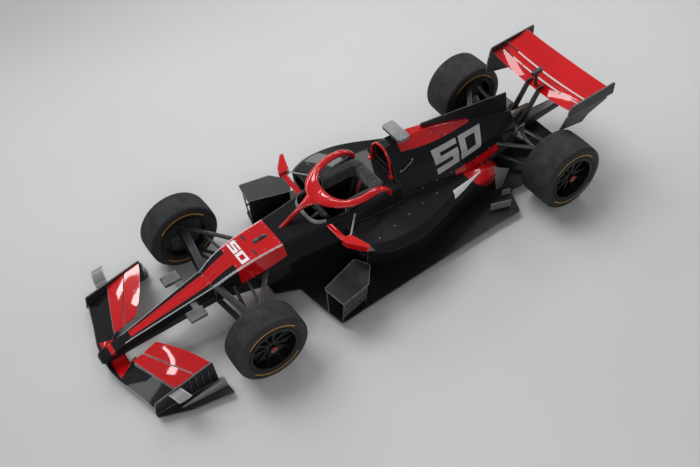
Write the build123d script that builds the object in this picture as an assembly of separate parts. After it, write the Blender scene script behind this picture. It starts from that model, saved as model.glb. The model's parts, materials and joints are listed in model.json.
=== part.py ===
from build123d import *
import math
import os

# Open-wheel racing car. +X is forward, +Y left, +Z up, millimetres.
# The origin is on the ground, midway between nose tip and rear wing tail.

# Driving dimensions
WHEELBASE = 3400.0
FRONT_OVERHANG = 1250.0     # nose tip ahead of the front axle
REAR_OVERHANG = 790.0       # rear wing tail behind the rear axle
OVERALL_WIDTH = 1900.0      # over the outer faces of the tyres
FRONT_TYRE_D = 705.0
FRONT_TYRE_W = 280.0
REAR_TYRE_D = 710.0
REAR_TYRE_W = 375.0

# Clearances
SEAT = 0.3                  # between pieces that bear on each other
RUN = 7.0                   # around pieces that move

# Wheels
BEAD_R = 229.0              # seat of an 18 inch tyre
FLANGE_R = 243.0
BARREL_R = 214.0            # inside of the rim barrel
FLANGE_T = 6.0
FLANGE_GAP = 13.0           # flange outboard of the bead, clear of the sidewall
BEAD_INSET = 22.0           # bead inboard of the tyre's widest point
SPOKES = 10
SPOKE_T = 22.0
SPOKE_INSET = 34.0          # outer face of the spokes inboard of the bead
HUB_R = 55.0
HUB_REACH = 20.0            # hub inboard of the wheel centre
NUT_R = 36.0
SPINDLE_R = 30.0
DRUM_R = 198.0              # brake drum
DRUM_RECESS_R = HUB_R + RUN

# Steering and suspension
KINGPIN_INSET = 110.0       # kingpin inboard of the front wheel centre
UPRIGHT_TOP = 478.0
UPRIGHT_FOOT = 222.0
UPRIGHT_T = 40.0
UPRIGHT_SWING = 65.0        # radius that the upright needs as it steers
BALL_R = 24.0
BALL_H = 18.0
PIN_R = 9.0
STEER_ARM_X = -110.0        # eye behind the front axle
STEER_ARM_IN = 60.0         # eye inboard of the kingpin
STEER_ARM_TOP = 440.0
STEER_ARM_T = 16.0
ROD_R = 8.5
REAR_UPRIGHT_INSET = 157.5  # inner face inboard of the rear wheel centre
REAR_BALL_TOP = 530.0
REAR_BALL_FOOT = 232.0
STUB_R = 42.0
SHAFT_R = 20.0
JOINT_R = 50.0

# Body
NOSE_JOINT = 120.0          # nose meets the survival cell, ahead of the front axle
TUB_LENGTH = 1940.0         # nose joint to rear bulkhead
COCKPIT_FLOOR = 130.0
FLOOR_BOTTOM = 60.0
FLOOR_T = 16.0
FLOOR_TAIL = 370.0          # floor's end ahead of the rear axle
PLANK_T = 12.0
PLANK_W = 300.0
COVER_WALL = 14.0
FIN_T = 10.0
ENGINE_SHARE = 0.5          # of the bay from the rear bulkhead to the rear axle
ENGINE_W = 400.0
ENGINE_TOP = 560.0
GEARBOX_TAIL = -120.0       # from the rear axle
CRASH_TAIL = -640.0

# Wings
FRONT_WING_INSET = 245.0    # mainplane tip inboard of the tyres' outer faces
ENDPLATE_T = 12.0
FRONT_FLAP_ROOT = 190.0     # inboard end of the front flaps
REAR_WING_LAP = 10.0        # endplates outboard of the rear tyres' inner faces
PIVOT_R = 4.0
PIVOT_REACH = 20.0
TIE_H, TIE_T = 11.0, 6.0    # slot separators between elements

FA = (WHEELBASE + REAR_OVERHANG - FRONT_OVERHANG) / 2
RA = FA - WHEELBASE
FRONT_Y = (OVERALL_WIDTH - FRONT_TYRE_W) / 2
REAR_Y = (OVERALL_WIDTH - REAR_TYRE_W) / 2
REAR_INNER = REAR_Y - REAR_TYRE_W / 2
KINGPIN_Y = FRONT_Y - KINGPIN_INSET
STEER_ARM_Y = KINGPIN_Y - STEER_ARM_IN
REAR_UPRIGHT_Y = REAR_Y - REAR_UPRIGHT_INSET
TUB_REAR = FA + NOSE_JOINT - TUB_LENGTH
BAY = TUB_REAR - RA
ENGINE_LENGTH = ENGINE_SHARE * BAY
ENGINE_REAR = TUB_REAR - SEAT - ENGINE_LENGTH
FLOOR_TOP = FLOOR_BOTTOM + FLOOR_T
HALF_FRONT = OVERALL_WIDTH / 2 - FRONT_WING_INSET
HALF_REAR = REAR_INNER + REAR_WING_LAP
FAR = 4000.0


# Drawing helpers
def across(x):
    return lambda p: Vector(x, p.X, p.Y)


def side(y):
    return lambda p: Vector(p.X, y, p.Y)


def plan(z):
    return lambda p: Vector(p.X, p.Y, z)


def corner_wire(points, radii, place):
    """Closed wire of straight runs with an arc at each corner."""
    count = len(points)
    arcs = []
    for i in range(count):
        corner = Vector(*points[i])
        back = (Vector(*points[i - 1]) - corner).normalized()
        ahead = (Vector(*points[(i + 1) % count]) - corner).normalized()
        half = math.radians(back.get_angle(ahead)) / 2
        middle = (back + ahead).normalized()
        run = radii[i] / math.tan(half)
        apex = corner + middle * (radii[i] / math.sin(half) - radii[i])
        arcs.append((place(corner + back * run), place(apex), place(corner + ahead * run)))
    edges = []
    for i in range(count):
        edges.append(Edge.make_three_point_arc(*arcs[i]))
        edges.append(Edge.make_line(arcs[i][2], arcs[(i + 1) % count][0]))
    return Wire(edges)


def plate(points, radius, place, pull):
    """Outline with rounded corners, pulled into a solid."""
    return Solid.extrude(Face(corner_wire(points, [radius] * len(points), place)), Vector(*pull))


def block(x0, x1, y0, y1, z0, z1):
    """Box between two corners."""
    size = (x1 - x0, y1 - y0, z1 - z0)
    return Solid.make_box(*size, Plane(origin=(x0, y0, z0)))


def rod(start, end, radius):
    """Round bar between two points."""
    start = Vector(*start)
    run = Vector(*end) - start
    return Solid.make_cylinder(radius, run.length, Plane(origin=start, z_dir=run))


def arm(start, end, chord, thick):
    """Streamlined bar between two points, its chord along the car."""
    start = Vector(*start)
    run = Vector(*end) - start
    section = Plane(origin=start, x_dir=run.cross(Vector(0, 0, 1)), z_dir=run)
    wire = Wire.make_ellipse(chord / 2, thick / 2, section)
    return Solid.extrude(Face(wire), run)


def lens(le, te, thick, camber):
    """Aerofoil of two arcs from leading to trailing edge, sagging by camber."""
    middle = (le + te) / 2 - Vector(0, 0, camber)
    rise = Vector(0, 0, thick / 2)
    upper = Edge.make_three_point_arc(le, middle + rise, te)
    lower = Edge.make_three_point_arc(te, middle - rise, le)
    return Wire([upper, lower])


def blade(rows, base_x, thick, camber, grow=0.0, ruled=False):
    """Wing element through rows of (y, le_x, le_z, te_x, te_z)."""
    wires = []
    for y, le_x, le_z, te_x, te_z in rows:
        le = Vector(base_x + le_x + grow, y, le_z)
        te = Vector(base_x + te_x - grow, y, te_z)
        wires.append(lens(le, te, thick + 2 * grow, camber))
    return Solid.make_loft(wires, ruled)


def chord_point(row, base_x, share, camber):
    """Point inside an element, a share of the chord behind its leading edge."""
    y, le_x, le_z, te_x, te_z = row
    sag = camber * 4 * share * (1 - share)
    return Vector(base_x + le_x + (te_x - le_x) * share, y, le_z + (te_z - le_z) * share - sag)


def row_at(rows, y):
    """Row of an element at y, on straight lines between its rows."""
    for inner, outer in zip(rows, rows[1:]):
        if y <= outer[0]:
            share = (y - inner[0]) / (outer[0] - inner[0])
            return [a + (b - a) * share for a, b in zip(inner, outer)]


def tie(start, end):
    """Slot separator from a point inside one element to one inside the next."""
    low = [(p.X, p.Z - TIE_H / 2) for p in (start, end)]
    high = [(p.X, p.Z + TIE_H / 2) for p in (end, start)]
    return plate(low + high, 2, side(start.Y - TIE_T / 2), (0, TIE_T, 0))


def mirrored(rows):
    """Rows for both halves of a wing, from rows for its left half."""
    return [(-row[0],) + row[1:] for row in reversed(rows) if row[0] > 0] + list(rows)


def hull(rows, radii, grow=0.0, ruled=False, drop=0.0):
    """Body through rows of (x, ((y, z), ...)), each half listed from top to bottom."""
    wires = []
    for x, half in rows:
        top, low = half[0], half[-1]
        left = [(top[0] + grow, top[1] + grow)]
        left += [(y + grow, z) for y, z in half[1:-1]]
        left += [(low[0] + grow, low[1] - grow - drop)]
        points = left + [(-y, z) for y, z in reversed(left)]
        wires.append(corner_wire(points, list(radii) + list(reversed(radii)), across(x)))
    return Solid.make_loft(wires, ruled)


def largest(shape):
    return max(shape.solids(), key=lambda solid: solid.volume)


def fuse(first, *rest):
    return first.fuse(*rest)


def both(shape):
    """A left piece and its mirror image."""
    return [shape, shape.mirror(Plane.XZ)]


def save(name, *shapes):
    solids = [solid for shape in shapes for solid in shape.solids()]
    export_step(Compound(solids), f"parts/{name}.step")


# Nose and survival cell
# Columns: x from the front axle, then (half width, height) of top edge, waist and foot
NOSE_ROWS = (
    (FRONT_OVERHANG, ((34, 207), (42, 186), (34, 165))),
    (FRONT_OVERHANG - 14, ((46, 226), (56, 190), (46, 152))),
    (FRONT_OVERHANG - 50, ((52, 244), (64, 198), (52, 144))),
    (FRONT_OVERHANG - 324, ((58, 306), (74, 240), (58, 168))),
    (NOSE_JOINT, ((128, 487), (150, 400), (116, 265))),
)
# Columns: x from the rear bulkhead, then as above
TUB_ROWS = (
    (TUB_LENGTH, NOSE_ROWS[-1][1]),
    (1245, ((192, 643), (285, 470), (200, 150))),
    (770, ((250, 668), (345, 490), (262, 92))),
    (320, ((322, 716), (372, 510), (300, 70))),
    (0, ((300, 735), (345, 530), (280, 70))),
)
# Cockpit opening, half outline: x from the rear bulkhead, half width
COCKPIT_ROWS = ((870, 150), (770, 212), (320, 262), (180, 255), (120, 190))
# Foot well: x, then (half width, height) of top edge, waist and foot
WELL_ROWS = (
    (FA - 20, ((80, 450), (84, 400), (80, 310))),
    (TUB_REAR + 800, ((140, 580), (180, 400), (140, 180))),
)


def moved(rows, base):
    return [(base + x, half) for x, half in rows]


def nose_form(grow=0.0):
    return hull(moved(NOSE_ROWS, FA), (14, 14, 14), grow, ruled=True)


def tub_form(grow=0.0):
    form = hull(moved(TUB_ROWS, TUB_REAR), (28, 40, 40), grow)
    return form - block(-FAR, FAR, -FAR, FAR, -FAR, FLOOR_TOP + SEAT - grow)


def cockpit_cut(grow, low, high):
    """Prism of the cockpit opening between two heights."""
    left = [(TUB_REAR + x, y + grow) for x, y in COCKPIT_ROWS]
    points = left + [(x, -y) for x, y in reversed(left)]
    return plate(points, 55, plan(low), (0, 0, high - low))


def monocoque():
    return tub_form() - cockpit_cut(0, COCKPIT_FLOOR, FAR) - hull(WELL_ROWS, (20, 20, 20), ruled=True)


nose = nose_form()
nose_tool = nose_form(SEAT)
tub = monocoque()
tub_tool = tub_form(SEAT)


# Cockpit
HEADREST_X = (560, 210)           # front of the cheeks, front of the back pad
HEADREST_Z = (610, 765)
HEADREST_GAP = 165                # half width of the room for the head
# Seat, in side view: x from the rear bulkhead, height
SEAT_PROFILE = ((175, 600), (330, COCKPIT_FLOOR + SEAT), (580, COCKPIT_FLOOR + SEAT), (800, 235),
                (788, 265), (570, 165), (355, 165), (208, 604))
SEAT_HALF = 185
BOLSTER_T = 20
BOLSTER_H = 60
STRAP_W = 48
STRAP_T = 5
STRAP_Y = 75
WHEEL_X, WHEEL_Z = 710, 585       # steering wheel centre
WHEEL_TILT = 20
WHEEL_W, WHEEL_H, WHEEL_T = 270, 165, 36
COLUMN_R = 18
CROSS_BAR_R = 14
COLUMN_LENGTH = 112


def headrest():
    cheek, back = [TUB_REAR + x for x in HEADREST_X]
    pad = cockpit_cut(-SEAT, *HEADREST_Z) - block(cheek, FAR, -FAR, FAR, 0, FAR)
    gap = [(back, HEADREST_GAP), (FAR, HEADREST_GAP), (FAR, -HEADREST_GAP), (back, -HEADREST_GAP)]
    return pad - plate(gap, 60, plan(0), (0, 0, FAR))


def seat():
    profile = [(TUB_REAR + x, z) for x, z in SEAT_PROFILE]
    shell = plate(profile, 12, side(-SEAT_HALF), (0, 2 * SEAT_HALF, 0))
    raised = profile[:4] + [(x, z + BOLSTER_H) for x, z in profile[4:7]] + profile[7:]
    wings = [plate(raised, 12, side(y), (0, BOLSTER_T, 0)) for y in (SEAT_HALF - BOLSTER_T, -SEAT_HALF)]
    return fuse(shell, *wings)


def harness():
    """Two shoulder straps lying on the seat back."""
    top, foot = [Vector(TUB_REAR + x, 0, z) for x, z in (SEAT_PROFILE[7], SEAT_PROFILE[6])]
    length = (foot - top).length
    down = (foot - top).normalized()
    out = down.cross(Vector(0, 1, 0))
    straps = []
    for y in (STRAP_Y, -STRAP_Y):
        corner = top + down * (length * 0.9) + out * SEAT + Vector(0, y - STRAP_W / 2, 0)
        lie = Plane(origin=corner, x_dir=(0, 1, 0), z_dir=out)
        straps.append(Solid.make_box(STRAP_W, length * 0.8, STRAP_T, lie))
    return straps


WHEEL_AXIS = Vector(-math.cos(math.radians(WHEEL_TILT)), 0, math.sin(math.radians(WHEEL_TILT)))
WHEEL_CENTRE = Vector(TUB_REAR + WHEEL_X, 0, WHEEL_Z)


def steering_wheel():
    face = Plane(origin=WHEEL_CENTRE, x_dir=(0, 1, 0), z_dir=WHEEL_AXIS)
    outline = RectangleRounded(WHEEL_W, WHEEL_H, 45)
    grip = Pos(WHEEL_W / 2 - 45, 0) * RectangleRounded(30, 90, 14)
    sketch = outline - grip - mirror(grip, Plane.YZ)
    return extrude(face * sketch, WHEEL_T / 2, both=True)


def steering_column():
    back = WHEEL_CENTRE - WHEEL_AXIS * (WHEEL_T / 2 + SEAT)
    end = back - WHEEL_AXIS * COLUMN_LENGTH
    bar = rod((end.X, -FAR, end.Z), (end.X, FAR, end.Z), CROSS_BAR_R)
    return fuse(rod(back, end, COLUMN_R), bar & cockpit_cut(-SEAT, COCKPIT_FLOOR, FAR))


# Halo, left half from its front to its foot inside the survival cell
# Columns: x from the rear bulkhead, y, z, heading (x, y, z), width, height
HALO_ROWS = (
    (725, 0, 800, (0, 1, 0), 164, 46),
    (634, 219, 808, (-1, 1, 0.02), 104, 50),
    (415, 310, 824, (-1, 0, 0.05), 80, 50),
    (265, 308, 828, (-1, 0, -0.12), 74, 50),
    (172, 302, 780, (-0.5, 0, -0.8), 68, 48),
    (140, 298, 690, (-0.15, 0, -1), 66, 46),
)
# Pylon, columns: x from the rear bulkhead, centre height, half width, half height
PYLON_ROWS = ((1170, 610, 14, 34), (1030, 692, 16, 32), (915, 754, 27, 27), (822, 786, 62, 24),
              (745, 801, 118, 18))


def halo():
    right = []
    for x, y, z, ahead, width, height in reversed(HALO_ROWS[1:]):
        right.append((x, -y, z, (-ahead[0], ahead[1], -ahead[2]), width, height))
    wires = []
    for x, y, z, ahead, width, height in right + list(HALO_ROWS):
        ahead = Vector(*ahead)
        section = Plane(origin=(TUB_REAR + x, y, z), x_dir=ahead.cross(Vector(0, 0, 1)), z_dir=ahead)
        wires.append(Wire.make_ellipse(width / 2, height / 2, section))
    pylon = []
    for x, z, half_y, half_z in PYLON_ROWS:
        section = Plane(origin=(TUB_REAR + x, 0, z), x_dir=(0, 1, 0), z_dir=(1, 0, 0))
        pylon.append(Wire.make_ellipse(half_y, half_z, section))
    return largest(fuse(Solid.make_loft(wires), Solid.make_loft(pylon)) - tub_tool)


# Mirrors: plan corners of the left housing, x from the rear bulkhead
MIRROR_PLAN = ((824, 520), (806, 590), (690, 738), (650, 744), (722, 520))
MIRROR_Z = (662, 724)
# Stalk and stay, columns: inner end, outer end, chord, thickness
MIRROR_ARMS = (((775, 190, 642), (785, 540, 694), 56, 14), ((470, 240, 668), (745, 545, 690), 16, 8))


def mirrors():
    corners = [(TUB_REAR + x, y) for x, y in MIRROR_PLAN]
    housing = plate(corners, 12, plan(MIRROR_Z[0]), (0, 0, MIRROR_Z[1] - MIRROR_Z[0]))
    arms = []
    for inner, outer, chord, thick in MIRROR_ARMS:
        ends = [(TUB_REAR + x, y, z) for x, y, z in (inner, outer)]
        arms.append(arm(*ends, chord, thick))
    return both(largest(fuse(housing, *arms) - tub_tool))


# Engine cover, with the airbox at its front
# Columns: x, then (half width, height) of ridge, cheek, hip and foot
COVER_ROWS = (
    (TUB_REAR - SEAT, ((60, 1015), (148, 905), (215, 745), (318, 480))),
    (TUB_REAR - 0.27 * BAY, ((40, 985), (150, 880), (235, 740), (318, 480))),
    (TUB_REAR - 0.65 * BAY, ((26, 790), (90, 730), (215, 610), (290, 430))),
    (RA + 40, ((22, 625), (60, 600), (105, 540), (135, 440))),
)
AIRBOX_DEPTH = 300
DUCT = ((45, 985), (112, 905), (92, 800))


def cover_form(grow=0.0, drop=0.0, radii=(18, 30, 60, 12)):
    return hull(COVER_ROWS, radii, grow, drop=drop)


def engine_cover():
    inner = cover_form(-COVER_WALL, 60, (4, 20, 50, 8))
    front = COVER_ROWS[0][0]
    rear_room = inner & block(-FAR, front - AIRBOX_DEPTH - 40, -FAR, FAR, 0, FAR)
    low_room = inner & block(-FAR, FAR, -FAR, FAR, 0, ENGINE_TOP + 60)
    duct = hull([(front + 1, DUCT), (front - AIRBOX_DEPTH, DUCT)], (25, 25, 25), ruled=True)
    return cover_form() - rear_room - low_room - duct


cover_tool = cover_form(SEAT)
# Fin corners, x and height
FIN_ROWS = ((RA + 0.72 * BAY, 1030), (RA + 84, 866), (RA + 60, 560), (RA + 0.7 * BAY, 820))


def shark_fin():
    return largest(plate(FIN_ROWS, 8, side(-FIN_T / 2), (0, FIN_T, 0)) - cover_tool)


CAMERA_X = (-100, -230)           # from the rear bulkhead
CAMERA_Z = (1066, 1098)
CAMERA_HALF = 140
STEM_FOOT = 900                   # inside the cover, which trims it


def onboard_camera():
    front, rear = [TUB_REAR + x for x in CAMERA_X]
    points = [(front, -CAMERA_HALF), (front, CAMERA_HALF), (rear, CAMERA_HALF), (rear, -CAMERA_HALF)]
    bar = plate(points, 30, plan(CAMERA_Z[0]), (0, 0, CAMERA_Z[1] - CAMERA_Z[0]))
    stem = block(rear + 20, front - 20, -12, 12, STEM_FOOT, CAMERA_Z[0] + 4)
    return largest(fuse(bar, stem) - cover_tool)


# Sidepods
POD_IN = ENGINE_W / 2 + SEAT
POD_FRONT = FA - 1190
POD_LENGTH = POD_FRONT - RA - FLOOR_TAIL - 10
# Columns: share of the length, height of the inner top, then (y, z) of shoulder, widest point and foot
POD_ROWS = (
    (0, 590, (605, 583), (648, 540), (620, 345)),
    (0.12, 602, (685, 572), (757, 510), (600, 170)),
    (0.28, 588, (690, 550), (757, 480), (620, 68)),
    (0.58, 500, (510, 490), (580, 430), (500, 68)),
    (0.91, 380, (350, 372), (420, 320), (360, 68)),
    (1, 262, (262, 258), (330, 215), (290, 68)),
)
INLET_Y = (395, 590)
INLET_Z = (420, 556)
INLET_DEPTH = 280


def pod_form(grow=0.0):
    wires = []
    for share, top, shoulder, hip, foot in POD_ROWS:
        points = [(POD_IN - grow, top + grow), (shoulder[0], shoulder[1] + grow), (hip[0] + grow, hip[1]),
                  (foot[0] + grow, foot[1]), (POD_IN - grow, foot[1])]
        wires.append(corner_wire(points, (6, 30, 24, 24, 6), across(POD_FRONT - share * POD_LENGTH)))
    return Solid.make_loft(wires) - block(-FAR, FAR, -FAR, FAR, -FAR, FLOOR_TOP + SEAT)


pod_tool = pod_form(SEAT)


def sidepod():
    (y0, y1), (z0, z1) = INLET_Y, INLET_Z
    mouth = [(y0, z0), (y1, z0), (y1, z1), (y0, z1)]
    inlet = plate(mouth, 30, across(POD_FRONT + 10), (-INLET_DEPTH - 10, 0, 0))
    return largest(pod_form() - tub_tool - cover_tool - inlet)


# Floor, plank, diffuser
DIFFUSER_TAIL = -340
DIFFUSER_RISE = 214
DIFFUSER_HALF = REAR_INNER - 75
FENCE_T = 8
FENCE_Y = (0.22 * DIFFUSER_HALF, 0.6 * DIFFUSER_HALF, DIFFUSER_HALF - FENCE_T)
# Floor edge, half outline: x, half width
FLOOR_ROWS = ((FA - 420, 200), (FA - 640, 300), (FA - 690, 640), (FA - 735, 870), (FA - 1050, 850),
              (RA + 800, 765), (RA + 490, 765), (RA + 400, DIFFUSER_HALF + 40),
              (RA + FLOOR_TAIL, DIFFUSER_HALF))
# Upright fins on the floor ahead of the rear wheel, left; columns: front end, rear end, height
FIN_PLATES = (((RA + 720, 590), (RA + 520, 660), 85), ((RA + 500, 500), (RA + 415, 525), 70))
FIN_PLATE_T = 6


def floor():
    points = list(FLOOR_ROWS) + [(x, -y) for x, y in reversed(FLOOR_ROWS)]
    return plate(points, 25, plan(FLOOR_BOTTOM), (0, 0, FLOOR_T))


def plank():
    top = FLOOR_BOTTOM - SEAT
    return block(RA + 420, FA - 500, -PLANK_W / 2, PLANK_W / 2, top - PLANK_T, top)


def diffuser():
    front, rear = RA + FLOOR_TAIL - SEAT, RA + DIFFUSER_TAIL
    low, high = FLOOR_BOTTOM, FLOOR_BOTTOM + DIFFUSER_RISE
    ramp = [(front, low), (rear, high), (rear, high + FLOOR_T), (front, FLOOR_TOP)]
    roof = plate(ramp, 2, side(-DIFFUSER_HALF), (0, 2 * DIFFUSER_HALF, 0))
    drop = [(front - 40, low + 14), (front - 60, low), (rear, low + 60), (rear, high + 6)]
    fences = []
    for y in FENCE_Y:
        fences += both(plate(drop, 2, side(y), (0, FENCE_T, 0)))
    return fuse(roof, *fences)


# Bargeboard box, left; plan corners of its shelf, x from the front axle
SHELF_PLAN = ((-690, 675), (-728, 930), (-1044, 866), (-1180, 690), (-1100, 545))
SHELF_Z = 396
SHELF_T = 10
BOARD_T = 10
SLAT_Z = (150, 225, 300)
SLAT_H = 26


def wall(start, end, low, high, thick):
    """Upright board between two plan points."""
    start, end = Vector(*start), Vector(*end)
    along = (end - start).normalized()
    off = Vector(-along.Y, along.X, 0) * (thick / 2)
    points = [start + off, end + off, end - off, start - off]
    return plate([(p.X, p.Y) for p in points], thick / 5, plan(low), (0, 0, high - low))


def bargeboards():
    corners = [(FA + x, y) for x, y in SHELF_PLAN]
    low = FLOOR_TOP + SEAT
    shelf = plate(corners, 20, plan(SHELF_Z), (0, 0, SHELF_T))
    ends = (Vector(*corners[0]) + Vector(-12, 14), Vector(*corners[4]) + Vector(4, 18))
    inner = wall(*ends, low, SHELF_Z + 4, BOARD_T)
    inset = Vector(0, -76)
    edge = [Vector(*corners[1]) + inset + Vector(-24, 0), Vector(*corners[2]) + inset]
    top = [Vector(*corners[1]) + Vector(-18, -22), Vector(*corners[2]) + Vector(4, -18)]
    posts = [rod((f.X, f.Y, low), (t.X, t.Y, SHELF_Z + 4), 7) for f, t in zip(edge, top)]
    slats = []
    for z in SLAT_Z:
        share = (z + SLAT_H / 2 - low) / (SHELF_Z - low)
        ends = [f + (t - f) * share for f, t in zip(edge, top)]
        slats.append(wall(ends[0], ends[1], z, z + SLAT_H, BOARD_T))
    box = fuse(shelf, inner, *posts, *slats)
    return largest(box - pod_tool - block(-FAR, FAR, -FAR, FAR, -FAR, low))


def floor_fins():
    low = FLOOR_TOP + SEAT
    fins = []
    for front, rear, height in FIN_PLATES:
        fins += both(wall(front, rear, low, low + height, FIN_PLATE_T))
    return fins


# Power train
def power_unit():
    half = ENGINE_W / 2
    points = [(-half, FLOOR_TOP + SEAT), (half, FLOOR_TOP + SEAT), (half, ENGINE_TOP), (-half, ENGINE_TOP)]
    return plate(points, 30, across(TUB_REAR - SEAT), (-ENGINE_LENGTH, 0, 0))


# Columns: x, then (half width, height) of top edge and foot
GEARBOX_ROWS = (
    (ENGINE_REAR - SEAT, ((165, 440), (165, 100))),
    (RA, ((125, 420), (120, 250))),
    (RA + GEARBOX_TAIL, ((98, 420), (90, 292))),
)
CRASH_ROWS = ((RA + GEARBOX_TAIL - SEAT, ((72, 412), (72, 305))), (RA + CRASH_TAIL, ((46, 402), (46, 330))))
LIGHT_T = 24
EXHAUST_R = 46
EXHAUST_T = 4
EXHAUST_Z = 508
EXHAUST_X = (70, -235)


def gearbox(grow=0.0):
    return hull(GEARBOX_ROWS, (22, 22), grow, ruled=True)


def crash_structure():
    return hull(CRASH_ROWS, (16, 16), ruled=True)


def rain_light():
    x = RA + CRASH_TAIL - SEAT
    points = [(-38, 326), (38, 326), (38, 406), (-38, 406)]
    return plate(points, 8, across(x), (-LIGHT_T, 0, 0))


def exhaust():
    front, rear = [RA + x for x in EXHAUST_X]
    pipe = rod((front, 0, EXHAUST_Z), (rear, 0, EXHAUST_Z), EXHAUST_R)
    saddle = block(RA - 100, RA - 40, -22, 22, GEARBOX_ROWS[1][1][0][1] + SEAT, EXHAUST_Z)
    bore = rod((front + 1, 0, EXHAUST_Z), (rear - 1, 0, EXHAUST_Z), EXHAUST_R - EXHAUST_T)
    return fuse(pipe, saddle) - bore


# Front wing; columns: y, then x from the front axle and z of leading and trailing edges
FLAP_TIP = HALF_FRONT - RUN
FLAP_MID = (FRONT_FLAP_ROOT + FLAP_TIP) / 2
MAIN_ROWS = ((0, 1218, 96, 1030, 112), (0.16 * HALF_FRONT, 1216, 96, 1030, 114),
             (0.33 * HALF_FRONT, 1198, 97, 1012, 160), (0.6 * HALF_FRONT, 1142, 98, 945, 178),
             (HALF_FRONT, 1068, 100, 848, 188))
FLAP_ROWS = (
    ((FRONT_FLAP_ROOT, 1018, 190, 920, 214), (FLAP_MID, 935, 203, 796, 246), (FLAP_TIP, 842, 214, 665, 272)),
    ((FRONT_FLAP_ROOT, 905, 222, 775, 276), (FLAP_MID, 784, 254, 612, 302), (FLAP_TIP, 655, 278, 500, 312)),
)
TIE_Y = (FRONT_FLAP_ROOT + 25, FLAP_MID, FLAP_TIP - 25)
MAIN_T, MAIN_CAMBER = 18, 10
FLAP_T, FLAP_CAMBER = 18, 8
FLAP_AXIS_SHARE = 0.3
HANGER_Y = 42
HANGER_T = 12
BRACKET_T = 10
ENDPLATE_TOP = ((1067, 203), (487, 332))
ENDPLATE_FOOT = ((470, 48), (1088, 48))
# Footplate, plan corners: x from the front axle, y from the mainplane's tip
FOOTPLATE_PLAN = ((1088, 3), (1080, 53), (800, 157), (420, 220), (440, 3))
FOOTPLATE_T = 12
CANARD_ROWS = ((HALF_FRONT + 4, 935, 205, 815, 222), (HALF_FRONT + 59, 938, 272, 818, 281),
               (HALF_FRONT + 188, 905, 288, 782, 299))
FLAP_PINS = [chord_point(FLAP_ROWS[0][i], FA, FLAP_AXIS_SHARE, FLAP_CAMBER) for i in (0, 2)]
FLAP_LINE = (FLAP_PINS[1] - FLAP_PINS[0]).normalized()


def front_wing():
    main = blade(mirrored(MAIN_ROWS), FA, MAIN_T, MAIN_CAMBER, ruled=True)
    hanger = [(FA + 1150, 95), (FA + 1060, 100), (FA + 1020, 240), (FA + 1130, 230)]
    root = FLAP_PINS[0]
    bracket = [(FA + 1080, 116), (FA + 1040, 116), (root.X - 14, root.Z - 10), (root.X - 10, root.Z + 14),
               (root.X + 12, root.Z + 12)]
    pieces = both(plate(hanger, 6, side(HANGER_Y - HANGER_T / 2), (0, HANGER_T, 0)))
    pieces += both(plate(bracket, 6, side(FRONT_FLAP_ROOT - RUN - BRACKET_T), (0, BRACKET_T, 0)))
    start = root - FLAP_LINE * (RUN + BRACKET_T / 2)
    pieces += both(rod(start, root + FLAP_LINE * PIVOT_REACH, PIVOT_R))
    return fuse(main, *pieces) - nose_tool


def front_endplates():
    inner = HALF_FRONT + SEAT
    outline = [(FA + x, z) for x, z in ENDPLATE_TOP + ENDPLATE_FOOT]
    board = plate(outline, 22, side(inner), (0, ENDPLATE_T, 0))
    corners = [(FA + x, HALF_FRONT + y) for x, y in FOOTPLATE_PLAN]
    foot = plate(corners, 16, plan(ENDPLATE_FOOT[0][1]), (0, 0, FOOTPLATE_T))
    canard = blade(CANARD_ROWS, FA, 8, 6)
    tip = FLAP_PINS[1]
    pin = rod(tip + FLAP_LINE * (RUN + ENDPLATE_T / 2), tip - FLAP_LINE * PIVOT_REACH, PIVOT_R)
    return both(fuse(board, foot, canard, pin))


def front_flap():
    """Two elements held together by short slot separators, bored for the pivots."""
    pieces = [blade(rows, FA, FLAP_T, FLAP_CAMBER) for rows in FLAP_ROWS]
    for y in TIE_Y:
        ends = zip(FLAP_ROWS, (0.8, 0.2))
        pieces.append(tie(*[chord_point(row_at(rows, y), FA, share, FLAP_CAMBER) for rows, share in ends]))
    flap = fuse(*pieces)
    for pin, way in zip(FLAP_PINS, (1, -1)):
        ahead = FLAP_LINE * way
        flap -= rod(pin - ahead * RUN, pin + ahead * (PIVOT_REACH + 2), PIVOT_R + SEAT)
    return flap


POD_CAMERA = ((285, 455), (195, 305), (396, 434))


def nose_cameras():
    (x0, x1), (y0, y1), (z0, z1) = POD_CAMERA
    corners = [(FA + x0, z0), (FA + x1, z0), (FA + x1, z1), (FA + x0, z1)]
    shell = plate(corners, 16, side(y0), (0, y1 - y0, 0))
    stalk = arm((FA + x0 + 50, 60, (z0 + z1) / 2), (FA + x0 + 50, y0 + 10, (z0 + z1) / 2), 60, 12)
    return both(fuse(shell, stalk) - nose_tool)


# Rear wing; columns: y, then x from the rear axle and z of leading and trailing edges
REAR_TIP = HALF_REAR - RUN
REAR_MID = 0.48 * HALF_REAR
REAR_MAIN_ROWS = ((0, -273, 742, -370, 786), (REAR_MID, -262, 765, -368, 800),
                  (HALF_REAR - SEAT, -240, 838, -365, 846))
REAR_SLAT_ROWS = ((0, -377, 800, -434, 826), (REAR_MID, -375, 813, -432, 838),
                  (HALF_REAR - SEAT, -372, 852, -429, 866))
REAR_FLAP_ROWS = ((0, -440, 843, -695, 908), (REAR_MID, -438, 853, -693, 912),
                  (REAR_TIP, -435, 880, -690, 926))
REAR_MAIN_T, REAR_MAIN_CAMBER = 24, 16
REAR_SLAT_T, REAR_SLAT_CAMBER = 10, 7
REAR_FLAP_T, REAR_FLAP_CAMBER = 20, 18
REAR_TIE_Y = (REAR_MID, 0.97 * HALF_REAR)
REAR_AXIS_SHARE = 0.65
REAR_PIN = chord_point(REAR_FLAP_ROWS[2], RA, REAR_AXIS_SHARE, REAR_FLAP_CAMBER)
REAR_KNEE = 800             # height below which the endplate leans in, clear of the tyre
REAR_LEAN = 0.2
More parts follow.
